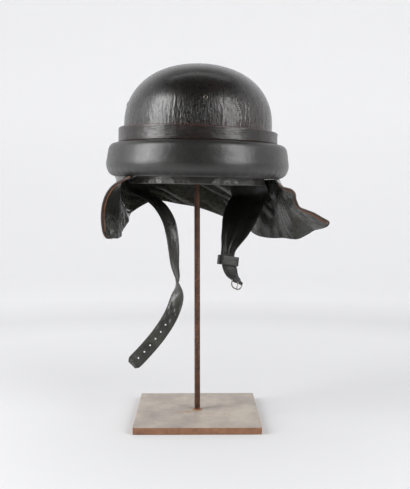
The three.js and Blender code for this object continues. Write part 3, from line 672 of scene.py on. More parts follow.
# Single creases in the crown's leather: angle and height of the lower end, angle and height of the
# upper end, half width and depth, in degrees and millimetres.
CREASES = [
    (-20.5, 68, -23.5, 110, 1.3, 1.1), (-17.5, 68, -21.0, 98, 1.2, -0.9), (-25.0, 70, -26.5, 92, 1.4, 0.7),
    (-8.0, 80, -10.5, 106, 1.2, 0.8), (-5.0, 74, -7.0, 88, 1.1, -0.6), (3.5, 70, 1.5, 98, 1.2, 0.6),
    (13.0, 68, 10.0, 100, 1.2, 1.0), (17.5, 68, 15.0, 94, 1.1, -0.9), (22.0, 68, 19.5, 108, 1.2, 0.9),
    (27.0, 68, 25.0, 112, 1.2, 1.1), (31.0, 68, 30.0, 104, 1.1, -1.0), (36.0, 68, 34.0, 114, 1.3, 1.1),
    (41.0, 68, 39.5, 108, 1.2, -0.9), (46.0, 68, 44.0, 104, 1.2, 0.9), (51.0, 68, 50.0, 98, 1.2, 0.8),
    (58.0, 68, 56.0, 90, 1.4, 0.6), (-42.0, 68, -44.0, 86, 1.4, 0.5), (-58.0, 68, -57.0, 84, 1.5, 0.4),
    (118.0, 68, 122.0, 96, 1.4, 0.7), (141.0, 68, 138.0, 100, 1.3, 0.8), (-150.0, 68, -153.0, 98, 1.4, 0.8),
    (-166.0, 68, -163.0, 90, 1.2, -0.6), (172.0, 68, 170.0, 104, 1.3, 0.7),
    (-120.0, 68, -118.0, 88, 1.5, 0.5),
]
# Small knocks in the crown: angle, height, radius and depth.
KNOCKS = [
    (16.0, 116, 1.9, 0.5), (28.5, 115, 2.4, 0.5), (-29.0, 122, 1.6, 0.5), (33.0, 103, 2.6, 0.4),
    (150.0, 112, 2.0, 0.4)
]


def crown_relief(angle, up):
    """How far the crown's leather stands out, in mm: stretched ridges, single creases, knocks."""
    arc = np.radians(angle) * CROWN_GIRTH
    low = smooth((118 - up) / 26) * smooth((up - 40) / 20)
    dense = hill(angle, 31, 24) * low
    relief = 0.62 * dense * (ridges((arc + 0.12 * up) / 4.4, up / 9, 11, 2.0, 3) - 0.35)
    relief += 0.20 * low * (ridges(arc / 6.5, up / 24, 12, 2.5, 3) - 0.3)
    relief += 0.24 * low * (ridges(arc / 2.9, up / 15, 14, 2.0) - 0.3)
    relief += 0.10 * smooth((150 - up) / 30) * (ridges(arc / 3.6, up / 30, 15, 2.0) - 0.3)
    for a0, u0, a1, u1, spread, depth in CREASES:
        f = np.clip((up - u0) / (u1 - u0), -0.2, 1.3)
        line = a0 + (a1 - a0) * f + 0.9 * np.sin(up / 6.5 + a0)
        shown = smooth((u1 + 5 - up) / 12) * smooth((up - u0 + 12) / 8)
        relief += 0.5 * depth * shown * hill(arc, np.radians(line) * CROWN_GIRTH, 0.6 * spread)
    for a0, u0, radius, depth in KNOCKS:
        away = np.hypot(arc - math.radians(a0) * CROWN_GIRTH, up - u0)
        relief += depth * (0.6 * hill(away, radius, 0.8) - hill(away, 0, radius * 0.7))
    relief += 0.5 * sway(arc / 46, up / 40, 13)
    return relief, dense


def make_crown():
    """The shell: up the outside from the rim to the top, with its relief, and down inside it."""
    angle = around(600)[:, None]
    side = [[HALF_WIDTH, HALF_LENGTH, z] for z in (0.0, 20.0, 40.0, 52.0, 60.0, 66.0, 70.5)]
    outer = np.concatenate([side, dome_rows(0, 118)])
    inner = np.concatenate(
        [dome_rows(CROWN_WALL, 16)[::-1], [[HALF_WIDTH - CROWN_WALL, HALF_LENGTH - CROWN_WALL, 0.0]]]
    )
    out = oval(angle, outer[:, 0], outer[:, 1], outer[:, 2])
    relief, dense = crown_relief(angle + 0 * outer[:, 0], outer[:, 2] + 0 * angle)
    normal = grid_normals(out)
    normal *= np.sign(np.sum(normal * (out - [0, 0, 40]), -1, keepdims=True))
    normal[:, -1] = (0, 0, 1)
    relief *= smooth((outer[:, 2] - 60) / 10) * smooth((CROWN_HEIGHT - outer[:, 2]) / 8)
    out = out + normal * relief[..., None]
    out[:, -1] = (0, 0, CROWN_HEIGHT)
    out[-1] = out[0]
    points = np.concatenate([oval(angle, inner[:, 0], inner[:, 1], inner[:, 2]), out], 1)
    girth = np.radians(angle) * CROWN_GIRTH / 1000
    run = np.concatenate([inner[:, 2] - 400, run_length(outer[:, 0], outer[:, 2])]) / 1000
    uv = uv_pairs(girth, run[None])
    quiet = np.zeros((len(angle), len(inner)))
    up = outer[:, 2] + 0 * angle
    wear = 0.25 + 0.5 * hill(up, 69, 5) + 0.45 * dense + 0.3 * smooth(relief * 1.2)
    wear += 0.35 * hill(angle, 8, 16) * hill(up, 122, 14)
    wrinkle = np.clip(0.26 + 0.8 * dense + 0.4 * smooth((112 - up) / 30), 0, 1)
    wrinkle *= 0.12 + 0.88 * smooth((132 - up) / 26)
    marks = {"wear": np.concatenate([quiet, wear], 1), "wrinkle": np.concatenate([quiet, wrinkle], 1)}
    crown = from_grids("crown_shell", [worn(points)], uv, marks)
    cutters = []
    for _, *frame_of in eyelet_places():
        cutters.append(worn(set_in(pin(1.9, 8, 20)[..., [0, 2, 1]], *frame_of)))
    pierced(crown, cutters)
    placed(crown, HELMET, "crown_leather", crown_leather, "crown")


def eyelet_places():
    """For each eyelet: its name, the ways along, out of and across the shell, and its middle."""
    rise = lambda h: max(h - SIDE_HEIGHT, 0) / (CROWN_HEIGHT - SIDE_HEIGHT)
    share = lambda h: (1 - rise(h) ** ROUNDNESS) ** (1 / ROUNDNESS)
    height, places = EYELET_HEIGHT, []
    for name, angle in (("front", 0), ("left", 90), ("back", 180), ("right", 270)):
        turn = math.radians(angle)
        x, y = HALF_WIDTH * share(height) * math.sin(turn), -HALF_LENGTH * share(height) * math.cos(turn)
        level = math.hypot(x, y)
        fall = (share(height - 1) - share(height + 1)) / 2
        up = unit(np.array([x / level, y / level, fall * level / share(height)]))
        side = unit(np.array([-y, x, 0.0]))
        places.append(("vent_eyelet_" + name, side, up, np.cross(side, up), np.array([x, y, height])))
    return places


def make_eyelets():
    """Each eyelet: a rolled flange on the leather and a barrel through the shell, turned on its axis."""
    for name, *frame_of in eyelet_places():
        roll = [(2.1 + 0.85 * math.cos(a), 0.35 + 0.55 * math.sin(a)) for a in np.linspace(-0.3, math.pi, 10)]
        rows = [(1.25, -9.5), (1.7, -9.5), (1.75, 0.1)] + roll + [(1.25, 0.2), (1.25, -9.5)]
        points = set_in(turned(rows, 28)[..., [0, 2, 1]], *frame_of)
        ring = from_grids(name + "_ring", [worn(points)], marks={"rust": 0.0})
        placed(ring, HELMET, "bright_steel", eyelet_metal, name)


def make_band():
    """Flat band on the roll: a rounded section carried round, its upper edge sloping to +X."""
    angle = around(420)[:, None]
    low = ROLL_HEIGHT + CLEARANCE
    r = 1.5
    face = [
        (BAND_THICKNESS - r + r * math.sin(a), r - r * math.cos(a))
        for a in np.linspace(0, math.pi / 2, 6)
    ]
    face += [
        (BAND_THICKNESS - 0.25 * math.sin(math.pi * f), r + (BAND_HEIGHT - 2 * r) * f)
        for f in np.linspace(0.1, 0.9, 9)
    ]
    face += [
        (BAND_THICKNESS - r + r * math.cos(a), BAND_HEIGHT - r + r * math.sin(a))
        for a in np.linspace(0, math.pi / 2, 6)
    ]
    rows = np.array([(0, 0)] + face + [(0.6, BAND_HEIGHT - 0.1), (0, BAND_HEIGHT - 0.9), (0, 0)])
    out, up = rows[:, 0] + CLEARANCE, rows[:, 1]
    arc = np.radians(angle) * BAND_GIRTH
    shown = smooth(rows[:, 0] / 4)
    uneven = shown * (0.7 * sway(arc / 26, up / 9, 21) + 0.35 * sway(arc / 7, up / 6, 22))
    edge = 0.5 * sway(arc / 30, 3, 23) * smooth(up / BAND_HEIGHT)
    uneven[-1], edge[-1] = uneven[0], edge[0]
    points = carried(angle, out + uneven, low + up + edge)
    points[..., 2] -= BAND_SLOPE * (up / BAND_HEIGHT) * points[..., 0] / HALF_WIDTH
    uv = uv_pairs(arc, run_length(out, up)) / 1000
    high = smooth((up - BAND_HEIGHT + 2.0) / 1.6) * 1.0 + smooth((1.8 - up) / 1.6) * 0.7
    wear = np.clip(high * (0.55 + 0.9 * noise(arc / 14, 0, 0, 24)) + 0.30, 0, 1.3)
    band = from_grids("crown_band_strip", [worn(points)], uv, {"wear": wear, "wrinkle": 0.5 + 0 * wear})
    placed(band, HELMET, "crown_leather", band_leather, "crown_band")


# The roll's outer face from bottom to top, as shares of its width and height.
ROLL_SECTION = table("out up", [
    (0.50, 0.000), (0.68, 0.035), (0.84, 0.110), (0.95, 0.220), (1.00, 0.375),
    (0.955, 0.560), (0.90, 0.750), (0.83, 0.880), (0.68, 0.965), (0.45, 1.000),
])


def make_roll():
    """Padded roll: the section's smooth curve carried round the rim, with the slight waves of its filling."""
    angle = around(420)[:, None]
    t = np.linspace(0, 1, 56)
    out = np.concatenate(
        [[CLEARANCE, 6.0], ROLL_WIDTH * column(ROLL_SECTION, "out", t), [6.0, CLEARANCE, CLEARANCE]]
    )
    up = np.concatenate(
        [[0, 0], ROLL_HEIGHT * column(ROLL_SECTION, "up", t), [ROLL_HEIGHT, ROLL_HEIGHT - 0.8, 0]]
    )
    out, up = np.maximum(out, CLEARANCE), np.clip(up, 0.0, ROLL_HEIGHT)
    arc = np.radians(angle) * ROLL_GIRTH
    soft = smooth((out - 8) / 10)
    wave = soft * (1.1 * sway(arc / 60, up / 30, 31) + 0.35 * sway(arc / 18, up / 14, 32))
    wave += soft * 0.22 * hill(up, 3, 6) * np.sin(arc / 2.3 + 2 * noise(arc / 20, 0, 0, 33))
    wave[-1] = wave[0]
    points = carried(angle, out + wave, up + 0 * arc)
    uv = uv_pairs(arc, run_length(out, up)) / 1000
    wear = 0.2 + 0.5 * hill(up, ROLL_HEIGHT, 5) + 0.3 * hill(up, 2, 5) + 0 * arc
    # Painted shade: the lowest 9 mm of the roll, its underside, loses its shine and coat so that it reads
    # dark.
    dull = 0.75 * smooth((9 - up) / 8) + 0 * arc
    roll = from_grids("rim_roll", [worn(points)], uv, {"wear": wear, "wrinkle": 0.6 + 0 * wear, "dull": dull})
    placed(roll, HELMET, "roll_leather", roll_leather, "brim_roll")


def make_headband():
    """Strip inside the rim: a thin rounded section carried round, its lower edge turned over and wavy."""
    angle = around(360)[:, None]
    outer = -CROWN_WALL - CLEARANCE
    inner = outer - HEADBAND_THICKNESS
    half = HEADBAND_THICKNESS / 2
    low = [
        (outer - half + half * math.cos(a), -HEADBAND_DROP + half - half * math.sin(a))
        for a in np.linspace(0, math.pi, 9)
    ]
    up_side = [(inner, z) for z in np.linspace(-HEADBAND_DROP + 2, HEADBAND_RISE - 1, 12)]
    down_side = [(outer, z) for z in np.linspace(HEADBAND_RISE - 1, -HEADBAND_DROP + 2, 12)]
    rows = np.array(
        low + up_side + [(inner + 0.5, HEADBAND_RISE), (outer - 0.5, HEADBAND_RISE)] + down_side + low[:1]
    )
    out, up = rows[:, 0], rows[:, 1]
    arc = np.radians(angle) * HEADBAND_GIRTH
    below = smooth(-up / 8)
    wave = below * (2.4 * sway(arc / 30, 0, 41) + 1.5 * (ridges(arc / 12, up / 14, 42) - 0.3))
    dip = below * 1.6 * sway(arc / 46, 9, 43)
    wave[-1], dip[-1] = wave[0], dip[0]
    points = carried(angle, out + wave, up + dip)
    uv = uv_pairs(arc, run_length(out, up)) / 1000
    wear = np.clip(0.35 + 0.8 * hill(up, -6.0, 1.6) + 0 * arc, 0, 1.2)
    strip = from_grids("rim_strip", [worn(points)], uv, {"wear": wear, "wrinkle": 0.8 + 0 * wear})
    placed(strip, HELMET, "strap_leather", strap_leather, "headband")
    rail = around(250)[:-1]
    at = carried(rail, outer + 0.12, -2.8)
    ahead = carried(rail + 0.5, outer, -2.8) - at
    away = carried(rail, 0, 0.0) - carried(rail, -CROWN_WALL, 0.0)
    placed(no_uv(stitch_row("rim_stitches", at, ahead, away, 2.2, 0.5)), HELMET, "strap_leather", thread)


def no_uv(thing):
    """Gives a small piece a UV map from its X and Z, and even marks, so that its leather can read them."""
    mesh = thing.data
    corners = np.zeros(len(mesh.loops), np.int32)
    mesh.loops.foreach_get("vertex_index", corners)
    places = np.zeros(len(mesh.vertices) * 3)
    mesh.vertices.foreach_get("co", places)
    places = places.reshape(-1, 3)
    layer = mesh.uv_layers.new(name="uv")
    layer.data.foreach_set("uv", places[corners][:, [0, 2]].astype(np.float32).ravel())
    mark_points(mesh, {"wear": np.full(len(places), 0.5), "wrinkle": np.full(len(places), 0.3)})
    return thing


# ---------------------------------------------------------------- neck curtain

# From one front edge round the back to the other: angles of rim and hem, reach of the hem as a share
# of the rim's oval, its drop, the bend's share out and down, belly of the flap and lift of its fold.
CURTAIN_STATIONS = table("rim hem reach drop out down belly lift", [
    (61, 83, 1.63, 0.70, 0.33, 0.80, 0.13, 0.080), (70, 88, 1.50, 0.84, 0.40, 0.70, 0.08, 0.035),
    (83, 93, 1.31, 0.96, 0.46, 0.60, 0.03, 0.0), (97, 101, 1.11, 0.99, 0.50, 0.50, 0.00, 0.0),
    (112, 115, 1.00, 0.98, 0.50, 0.50, 0.00, 0.0), (128, 129, 0.98, 0.89, 0.50, 0.50, 0.00, 0.0),
    (143, 143, 0.99, 0.76, 0.50, 0.50, 0.00, 0.0), (158, 158, 0.99, 0.63, 0.50, 0.50, 0.00, 0.0),
    (173, 173, 1.00, 0.52, 0.50, 0.50, 0.00, 0.0), (187, 188, 0.98, 0.46, 0.50, 0.50, 0.00, 0.0),
    (201, 201, 0.95, 0.41, 0.50, 0.50, 0.00, 0.0), (215, 214, 0.89, 0.40, 0.38, 0.62, 0.00, 0.0),
    (229, 227, 0.84, 0.44, 0.38, 0.62, 0.00, 0.0), (244, 245, 0.85, 0.56, 0.38, 0.62, 0.00, 0.0),
    (259, 259, 0.86, 0.68, 0.38, 0.62, 0.00, 0.0), (273, 270, 0.88, 0.80, 0.60, 0.42, 0.00, 0.0),
    (287, 279, 0.92, 0.94, 0.75, 0.32, 0.00, 0.0), (299, 284, 1.05, 0.97, 1.05, 0.19, 0.00, 0.0),
    (312, 288, 1.17, 0.91, 1.28, 0.11, 0.00, 0.0),
])
# Main folds: place along the curtain, width as a share of its length, depth as a share of its drop.
CURTAIN_FOLDS = [
    (0.065, 0.020, 0.035), (0.115, 0.018, -0.040), (0.165, 0.020, 0.045), (0.235, 0.026, -0.040),
    (0.330, 0.030, 0.030), (0.430, 0.030, -0.030), (0.520, 0.030, 0.025), (0.620, 0.030, -0.030),
    (0.720, 0.030, 0.035), (0.800, 0.024, -0.040), (0.868, 0.020, 0.040), (0.930, 0.018, -0.040),
]


def rim_point(angle, share, height):
    """Point at an angle round the head, at a share of the curtain's oval."""
    turn = np.radians(angle)
    across, along = (HALF_WIDTH + CURTAIN_INSET) * share, (HALF_LENGTH + CURTAIN_INSET) * share
    return xyz(across * np.sin(turn), -along * np.cos(turn), height)


def curtain_sheet(u, v):
    """Middle of the curtain: from rim to hem along a quadratic curve through the station's bend."""
    u, v = np.broadcast_arrays(np.asarray(u, float), np.asarray(v, float))
    value = lambda key: column(CURTAIN_STATIONS, key, u)
    top = rim_point(value("rim"), 1.0, -CLEARANCE)
    hem = rim_point(value("hem"), value("reach"), -CLEARANCE - CURTAIN_DROP * value("drop"))
    out, down = value("out")[..., None], value("down")[..., None]
    bend = np.concatenate(
        [top[..., :2] + (hem - top)[..., :2] * out, top[..., 2:] + (hem - top)[..., 2:] * down], -1
    )
    w = v[..., None]
    point = top * (1 - w) ** 2 + bend * 2 * w * (1 - w) + hem * w**2
    point[..., 2] += CURTAIN_DROP * value("lift") * v * hill(v, 0.72, 0.2)
    return point


def sheet_normal(sheet, u, v):
    """Normal of a sheet: the cross product of small steps along it and down it."""
    step = 1e-3
    a, b = np.clip(u, step, 1 - step), np.clip(v, step, 1 - step)
    return unit(np.cross(sheet(a + step, b) - sheet(a - step, b), sheet(a, b - step) - sheet(a, b + step)))


def folded_curtain(u, v):
    """The sheet with its main folds: bells along it that deepen down to the hem, and the flaps' bellies."""
    u, v = np.broadcast_arrays(np.asarray(u, float), np.asarray(v, float))
    stand = sum(CURTAIN_DROP * depth * v * hill(u, at, spread) for at, spread, depth in CURTAIN_FOLDS)
    stand = stand + CURTAIN_DROP * column(CURTAIN_STATIONS, "belly", u) * hill(v, 0.29, 0.13)
    return curtain_sheet(u, v) + sheet_normal(curtain_sheet, u, v) * stand[..., None]


def curtain_creases(u, v):
    """Small folds in mm: slanting ridges at the back, crumples on the -X flap, long waves on the +X flap."""
    run, down = u * CURTAIN_LENGTH, v * CURTAIN_DROP
    left, right = smooth((u - 0.80) / 0.06), smooth((0.20 - u) / 0.06)
    back = 1 - np.maximum(left, right)
    wave = 1.9 * back * (ridges((run + 1.6 * down) / 42, (down - 0.15 * run) / 120, 51, 1.6) - 0.45)
    wave += 1.0 * back * sway((run + 0.9 * down) / 21, down / 40, 52)
    wave += 0.9 * left * (ridges(run / 9, down / 15, 53, 1.8) - 0.4) * smooth((v - 0.45) / 0.3)
    crumpled = smooth((v - 0.55) / 0.25) * smooth((0.99 - v) / 0.08)
    wave += 1.5 * left * (ridges(run / 6.0, down / 8, 56, 2.2) - 0.35) * crumpled
    wave += 1.9 * right * sway(run / 19, down / 95, 54)
    wave += 0.8 * right * (ridges((run + 0.5 * down) / 12, down / 40, 55, 2.0) - 0.4)
    held = smooth(v / 0.22) * smooth(u / 0.02) * smooth((1 - u) / 0.02)
    return wave * held


def corner_inset(v):
    """Share of its length by which the curtain's front edge lies inside: round at its lower corner."""
    up = np.clip((1 - v) * CURTAIN_DROP, 0, CORNER_RADIUS)
    past = np.sqrt(np.maximum(CORNER_RADIUS**2 - (CORNER_RADIUS - up) ** 2, 0))
    return (CORNER_RADIUS - past) / CURTAIN_LENGTH


def corner_rounded(u, v):
    """Shares along the curtain moved inwards near its two lower corners, and nowhere else."""
    inset = corner_inset(v)
    return u + inset * np.clip(1 - u / 0.05, 0, 1) - inset * np.clip(1 - (1 - u) / 0.05, 0, 1)


def curtain_face(u, v, stand):
    """Place and normal on a face of the curtain, the given way off its middle, small folds included."""
    normal = sheet_normal(folded_curtain, u, v)
    return folded_curtain(u, v) + normal * (stand + curtain_creases(u, v))[..., None], normal


def make_curtain():
    """Closed shell of the curtain: outer face, round hem, inner face, round top, and both ends closed."""
    u = np.concatenate([[0, 0], np.linspace(0, 1, 460), [1, 1]])[:, None]
    v = np.linspace(0, 1, 66)
    hem = np.linspace(0, math.pi, 6)[1:-1]
    place = np.concatenate([v, np.ones(4), v[::-1], v[:1]])
    side = np.concatenate([np.ones(66), np.cos(hem), -np.ones(66), [1.0]])
    past = np.concatenate([np.zeros(66), np.sin(hem), np.zeros(67)])
    u = corner_rounded(u, place)
    mid = folded_curtain(u, place)
    normal = sheet_normal(folded_curtain, u + 0 * place, place + 0 * u)
    level = normal.copy()
    level[..., 2] = 0
    normal = np.where((place == 0)[None, :, None], unit(level), normal)
    down = unit(folded_curtain(u, place) - folded_curtain(u, place - 0.01))
    wall = side[None] * CURTAIN_WALL / 2 * np.ones(u.shape)
    wall[0] = wall[-1] = 0
    wall[1] *= 0.6
    wall[-2] *= 0.6
    points = mid + normal * (wall + curtain_creases(u, place))[..., None]
    points += down * (past * CURTAIN_WALL / 2 * 0.8)[None, :, None]
    uv = uv_pairs(u * CURTAIN_LENGTH / 1000, place * CURTAIN_DROP / 1000 + (side < 0) * 0.3)
    left = smooth((u - 0.82) / 0.05) * smooth((place - 0.45) / 0.35)
    wrinkle = np.clip(0.12 + 0.85 * left + 0.12 * smooth((0.2 - u) / 0.1), 0, 1) * smooth(place / 0.15)
    # Painted light: the back of the curtain, between the flaps, is given much of the paler bare colour
    # through its wear mark, so that it reads lighter.
    inside = smooth((u - 0.18) / 0.1) * smooth((0.84 - u) / 0.05)
    hem_wear = 0.5 * smooth((0.2 - u) / 0.08) * smooth(place / 0.4)
    wear = np.clip(0.10 + 0.2 * left + 1.3 * inside + hem_wear, 0, 1.5)
    # Painted shade: the upper part of the -X flap loses its shine and coat, so that it reads dark.
    dull = 0.9 * smooth((u - 0.84) / 0.05) * smooth((0.86 - place) / 0.14) * smooth((place - 0.1) / 0.2)
    curtain = from_grids("neck_flap", [worn(points)], uv, {"wear": wear, "wrinkle": wrinkle, "dull": dull})
    placed(curtain, HELMET, "flap_leather", flap_leather, "neck_curtain")
    sheet = worn(curtain_sheet(np.linspace(0, 1, 200)[:, None], np.linspace(0, 1, 40)))


def edge_line(edge, inset, stand):
    """Line along a front edge of the curtain, the given way inside it, standing off its face."""
    v = np.linspace(0.07, 0.97, 60)
    u = np.full_like(v, edge + (1 if edge == 0 else -1) * inset)
    return curtain_face(u, v, stand + 0 * v)


def make_piping(edge, name, node):
    """Piping on a front edge: a cord carried along the edge and round its lower corner, and two
    lines of brown stitching beside it on each face."""
    side = 1 if edge == 0 else -1
    step, stand = 1e-3, PIPING / 2 + 2 * CLEARANCE
    v = np.maximum(np.arange(8) / 8, 0.07)
    up = folded_curtain(edge, v - step) - folded_curtain(edge, v)
    normal = sheet_normal(folded_curtain, np.full_like(v, edge), v)
    points = list(folded_curtain(edge, v) + unit(np.cross(normal, up) * side) * stand)
    at = lambda a, b: folded_curtain(np.array([a]), np.array([b]))[0]
    face = lambda a, b: sheet_normal(folded_curtain, np.array([a]), np.array([b]))[0]
    below = lambda a: unit(np.cross(at(a + side * step, 1.0) - at(a, 1.0), face(a, 1.0)) * side)
    corner_up = at(edge, 1.0 - step) - at(edge, 1.0)
    rounded = at(edge + side * CORNER_CUT / CURTAIN_LENGTH, 1 - CORNER_CUT / CURTAIN_DROP)
    points.append(rounded + (unit(np.cross(face(edge, 1.0), corner_up) * side) + below(edge)) * stand * 0.71)
    for i in (1, 2, 3):
        a = edge + side * 0.05 * i / 3
        points.append(at(a, 1.0) + below(a) * stand * (1.0, 0.9, 0.5)[i - 1])
    t = np.linspace(0, 1, 150)
    path = curve(points, t)
    across = np.broadcast_to(face(edge, 0.6), path.shape)
    grid = tube(path, across, PIPING / 2 * (0.35 + 0.65 * smooth((1 - t) / 0.16)), 16)
    length = np.linspace(0, 0.12, grid.shape[0])[:, None]
    uv = uv_pairs(length, np.linspace(0, 0.0094, grid.shape[1]))
    wear = 0.55 + 0.5 * noise(length * 160, 0, 0, 61)
    cord = from_grids(name + "_cord", [worn(grid)], uv, {"wear": wear, "wrinkle": 0.6})
    placed(cord, HELMET, "piping_leather", piping_leather, node)
    lines = []
    for stand_off in (CURTAIN_WALL / 2 + 0.15, -CURTAIN_WALL / 2 - 0.15):
        for inset in (0.0016, 0.0062):
            line, normal = edge_line(edge, inset, stand_off)
            lines.append(tube(line, normal, 0.62, 8))
    seam = from_grids(name + "_seam", [worn(g) for g in lines])
    placed(no_uv(seam), HELMET, "piping_leather", brown_thread)


# ---------------------------------------------------------------- chin strap

# Rows down each strap: place as a share of its length, width as a share of the strap's, angle of its
# width round the head, how far it is bowed, and how many layers thick it is.
KEYS = "x y z width turn bow layers"
LONG_ROWS = table(KEYS, [
    (0.000, 0.000, 0.000, 2.00, 52, 0.08, 1), (0.000, 0.000, -0.022, 1.98, 51, 0.09, 1),
    (0.005, -0.013, -0.047, 1.88, 48, 0.09, 1), (0.024, -0.052, -0.077, 1.62, 42, 0.09, 1),
    (0.060, -0.106, -0.096, 1.32, 36, 0.10, 1), (0.108, -0.163, -0.136, 1.06, 24, 0.12, 1),
    (0.140, -0.195, -0.188, 1.00, 24, 0.10, 1), (0.155, -0.212, -0.243, 1.00, 32, 0.07, 1),
    (0.164, -0.220, -0.309, 1.00, 41, 0.05, 1), (0.169, -0.227, -0.379, 1.00, 56, 0.06, 1),
    (0.179, -0.234, -0.447, 1.00, 82, 0.12, 1), (0.180, -0.245, -0.520, 1.00, 150, 0.05, 1),
    (0.156, -0.261, -0.592, 1.00, 168, 0.02, 1), (0.109, -0.275, -0.668, 1.00, 174, 0.03, 1),
    (0.052, -0.282, -0.738, 1.00, 176, 0.02, 1), (0.000, -0.288, -0.793, 0.97, 177, 0.00, 1),
    (-0.011, -0.289, -0.804, 0.66, 177, 0.00, 1),
])
SHORT_ROWS = table(KEYS, [
    (0.000, 0.000, 0.000, 3.40, -54, 0.12, 1), (0.000, 0.000, -0.060, 3.40, -53, 0.13, 1),
    (0.011, -0.029, -0.155, 3.20, -47, 0.14, 1), (-0.052, -0.085, -0.254, 2.95, -36, 0.12, 1),
    (-0.109, -0.131, -0.344, 2.62, -26, 0.08, 1), (-0.155, -0.172, -0.437, 2.05, -16, 0.06, 1),
    (-0.194, -0.202, -0.521, 1.50, -8, 0.04, 1), (-0.218, -0.228, -0.587, 1.07, 2, 0.02, 1),
    (-0.228, -0.247, -0.638, 0.98, 9, 0.00, 1.4), (-0.227, -0.266, -0.686, 0.97, 17, 0.00, 2.2),
    (-0.213, -0.298, -0.748, 1.08, 25, 0.00, 2.2), (-0.185, -0.318, -0.818, 1.12, 52, 0.00, 2.2),
    (-0.172, -0.342, -0.836, 1.04, 64, 0.00, 2.2), (-0.158, -0.366, -0.854, 1.00, 67, 0.00, 2.2),
])
# A strap: its rows, its length in mm, and its angle round the rim.
LONG, SHORT = (LONG_ROWS, LONG_STRAP, 232), (SHORT_ROWS, SHORT_STRAP, 125.5)


def strap_frame(strap, t):
    """Middle of a strap, the ways along, across and through it, at shares t of its rows."""
    rows, length, angle = strap
    t = np.atleast_1d(np.asarray(t, float))
    anchor = rim_point(angle, 1 - 6 / (HALF_WIDTH + CURTAIN_INSET), -0.8)
    points = np.array([[r["x"], r["y"], r["z"]] for r in rows]) * length + anchor
    along = unit(curve(points, np.clip(t + 1e-4, 0, 1)) - curve(points, np.clip(t - 1e-4, 0, 1)))
    turn = np.radians(column(rows, "turn", t))
    across = xyz(np.cos(turn), np.sin(turn), 0 * turn)
    across = unit(across - along * np.sum(across * along, -1, keepdims=True))
    return curve(points, t), along, across, np.cross(across, along)


def strap_axes(strap, t):
    """The same four at one place of the strap."""
    return tuple(part[0] for part in strap_frame(strap, t))


def strap_place(strap, from_end):
    """Share t of the strap's rows at a length in mm from its free end."""
    t = np.linspace(0, 1, 2001)
    middle = strap_frame(strap, t)[0]
    run = run_length(*middle.T)
    return np.interp(run[-1] - np.asarray(from_end, float), run, t)


def strap_points(strap, t, c, h, relief):
    """Points of a strap: c across its width (-.5 to .5), h through its wall (-1 to 1)."""
    rows = strap[0]
    middle, _, across, through = strap_frame(strap, t)
    width = STRAP_WIDTH * column(rows, "width", t)[:, None]
    bow = -width * column(rows, "bow", t)[:, None] * (2 * c) ** 2
    wall = STRAP_WALL * column(rows, "layers", t)[:, None] / 2
    stand = bow + h * wall + relief(t[:, None], c, width)
    return middle[:, None] + across[:, None] * (width * c)[..., None] + through[:, None] * stand[..., None]


def strap_grid(strap, steps, relief):
    """Grid of a strap with rounded edges: its flat loop section carried along, both ends closed."""
    flat = np.linspace(-0.455, 0.455, 27)
    arc = np.linspace(0, math.pi, 7)[1:-1]
    c = np.concatenate(
        [flat, 0.455 + 0.045 * np.sin(arc), flat[::-1], -0.455 - 0.045 * np.sin(arc), flat[:1]]
    )
    h = np.concatenate([np.ones(27), np.cos(arc), -np.ones(27), -np.cos(arc), [1.0]])
    t = np.concatenate([[0, 0], np.linspace(0, 1, steps), [1, 1]])
    squeeze = np.ones(len(t))
    squeeze[[0, -1]] = 0
    squeeze[[1, -2]] = 0.7
    points = strap_points(strap, t, c[None] + 0 * t[:, None], h[None] * squeeze[:, None], relief)
    uv = uv_pairs(c * STRAP_WIDTH / 1000 + 0.1 * (h < 0), (t * strap[1] / 1000)[:, None])
    return points, uv, t, c


def long_relief(t, c, width):
    """Relief of the long strap in mm: sewn channel at each edge, puckers at its holes, a lengthwise
    crease near the helmet and the slight cockle of old leather."""
    run = t * LONG_STRAP
    from_edge = width * (0.5 - np.abs(c))
    groove = -0.30 * hill(from_edge, SEAM_INSET, 0.7) * smooth((t - 0.15) / 0.1)
    crease = 1.7 * hill(c, 0.10 - 0.9 * (t - 0.25), 0.07) * hill(t, 0.28, 0.10)
    crease = crease - 1.3 * hill(c, -0.18 - 0.9 * (t - 0.25), 0.10) * hill(t, 0.26, 0.10)
    cockle = 0.8 * sway(run / 13, c * 2.2, 71) + 0.5 * (ridges(run / 9, c * 3, 72, 2) - 0.3)
    low = smooth((t - 0.68) / 0.06)
    pucker = low * -0.55 * hill(c, 0, 0.16) * (0.5 + 0.5 * np.cos(2 * math.pi * run / HOLE_PITCH))
    ladder = low * 0.5 * hill(np.abs(c), 0.22, 0.10) * np.cos(2 * math.pi * run / HOLE_PITCH + 1.3)
    return groove + (crease + cockle) * smooth((0.45 - np.abs(c)) / 0.1) + pucker + ladder


def short_relief(t, c, width):
    """Relief of the short strap in mm: long soft folds that gather towards the keeper."""
    from_edge = width * (0.5 - np.abs(c))
    groove = -0.25 * hill(from_edge, SEAM_INSET, 0.7)
    run = t * SHORT_STRAP
    gathered = smooth((t - 0.08) / 0.15) * smooth((0.66 - t) / 0.12)
    gather = 1.6 * (ridges(c * 5.5, run / 70, 75, 1.6) - 0.45) * gathered
    cockle = 0.5 * sway(run / 10, c * 3, 76) * smooth((0.72 - t) / 0.1) * smooth(t / 0.1)
    return groove + (gather + cockle) * smooth((0.47 - np.abs(c)) / 0.08)


def strap_marks(t, c):
    """Marks of a strap: dye rubbed along both edges and in patches, creased all over."""
    wear = 0.35 + 0.4 * hill(np.abs(c), 0.47, 0.05) + 0.3 * sway(t[:, None] * 14, c * 2, 78)
    return {"wear": wear, "wrinkle": 0.7 + 0 * wear}


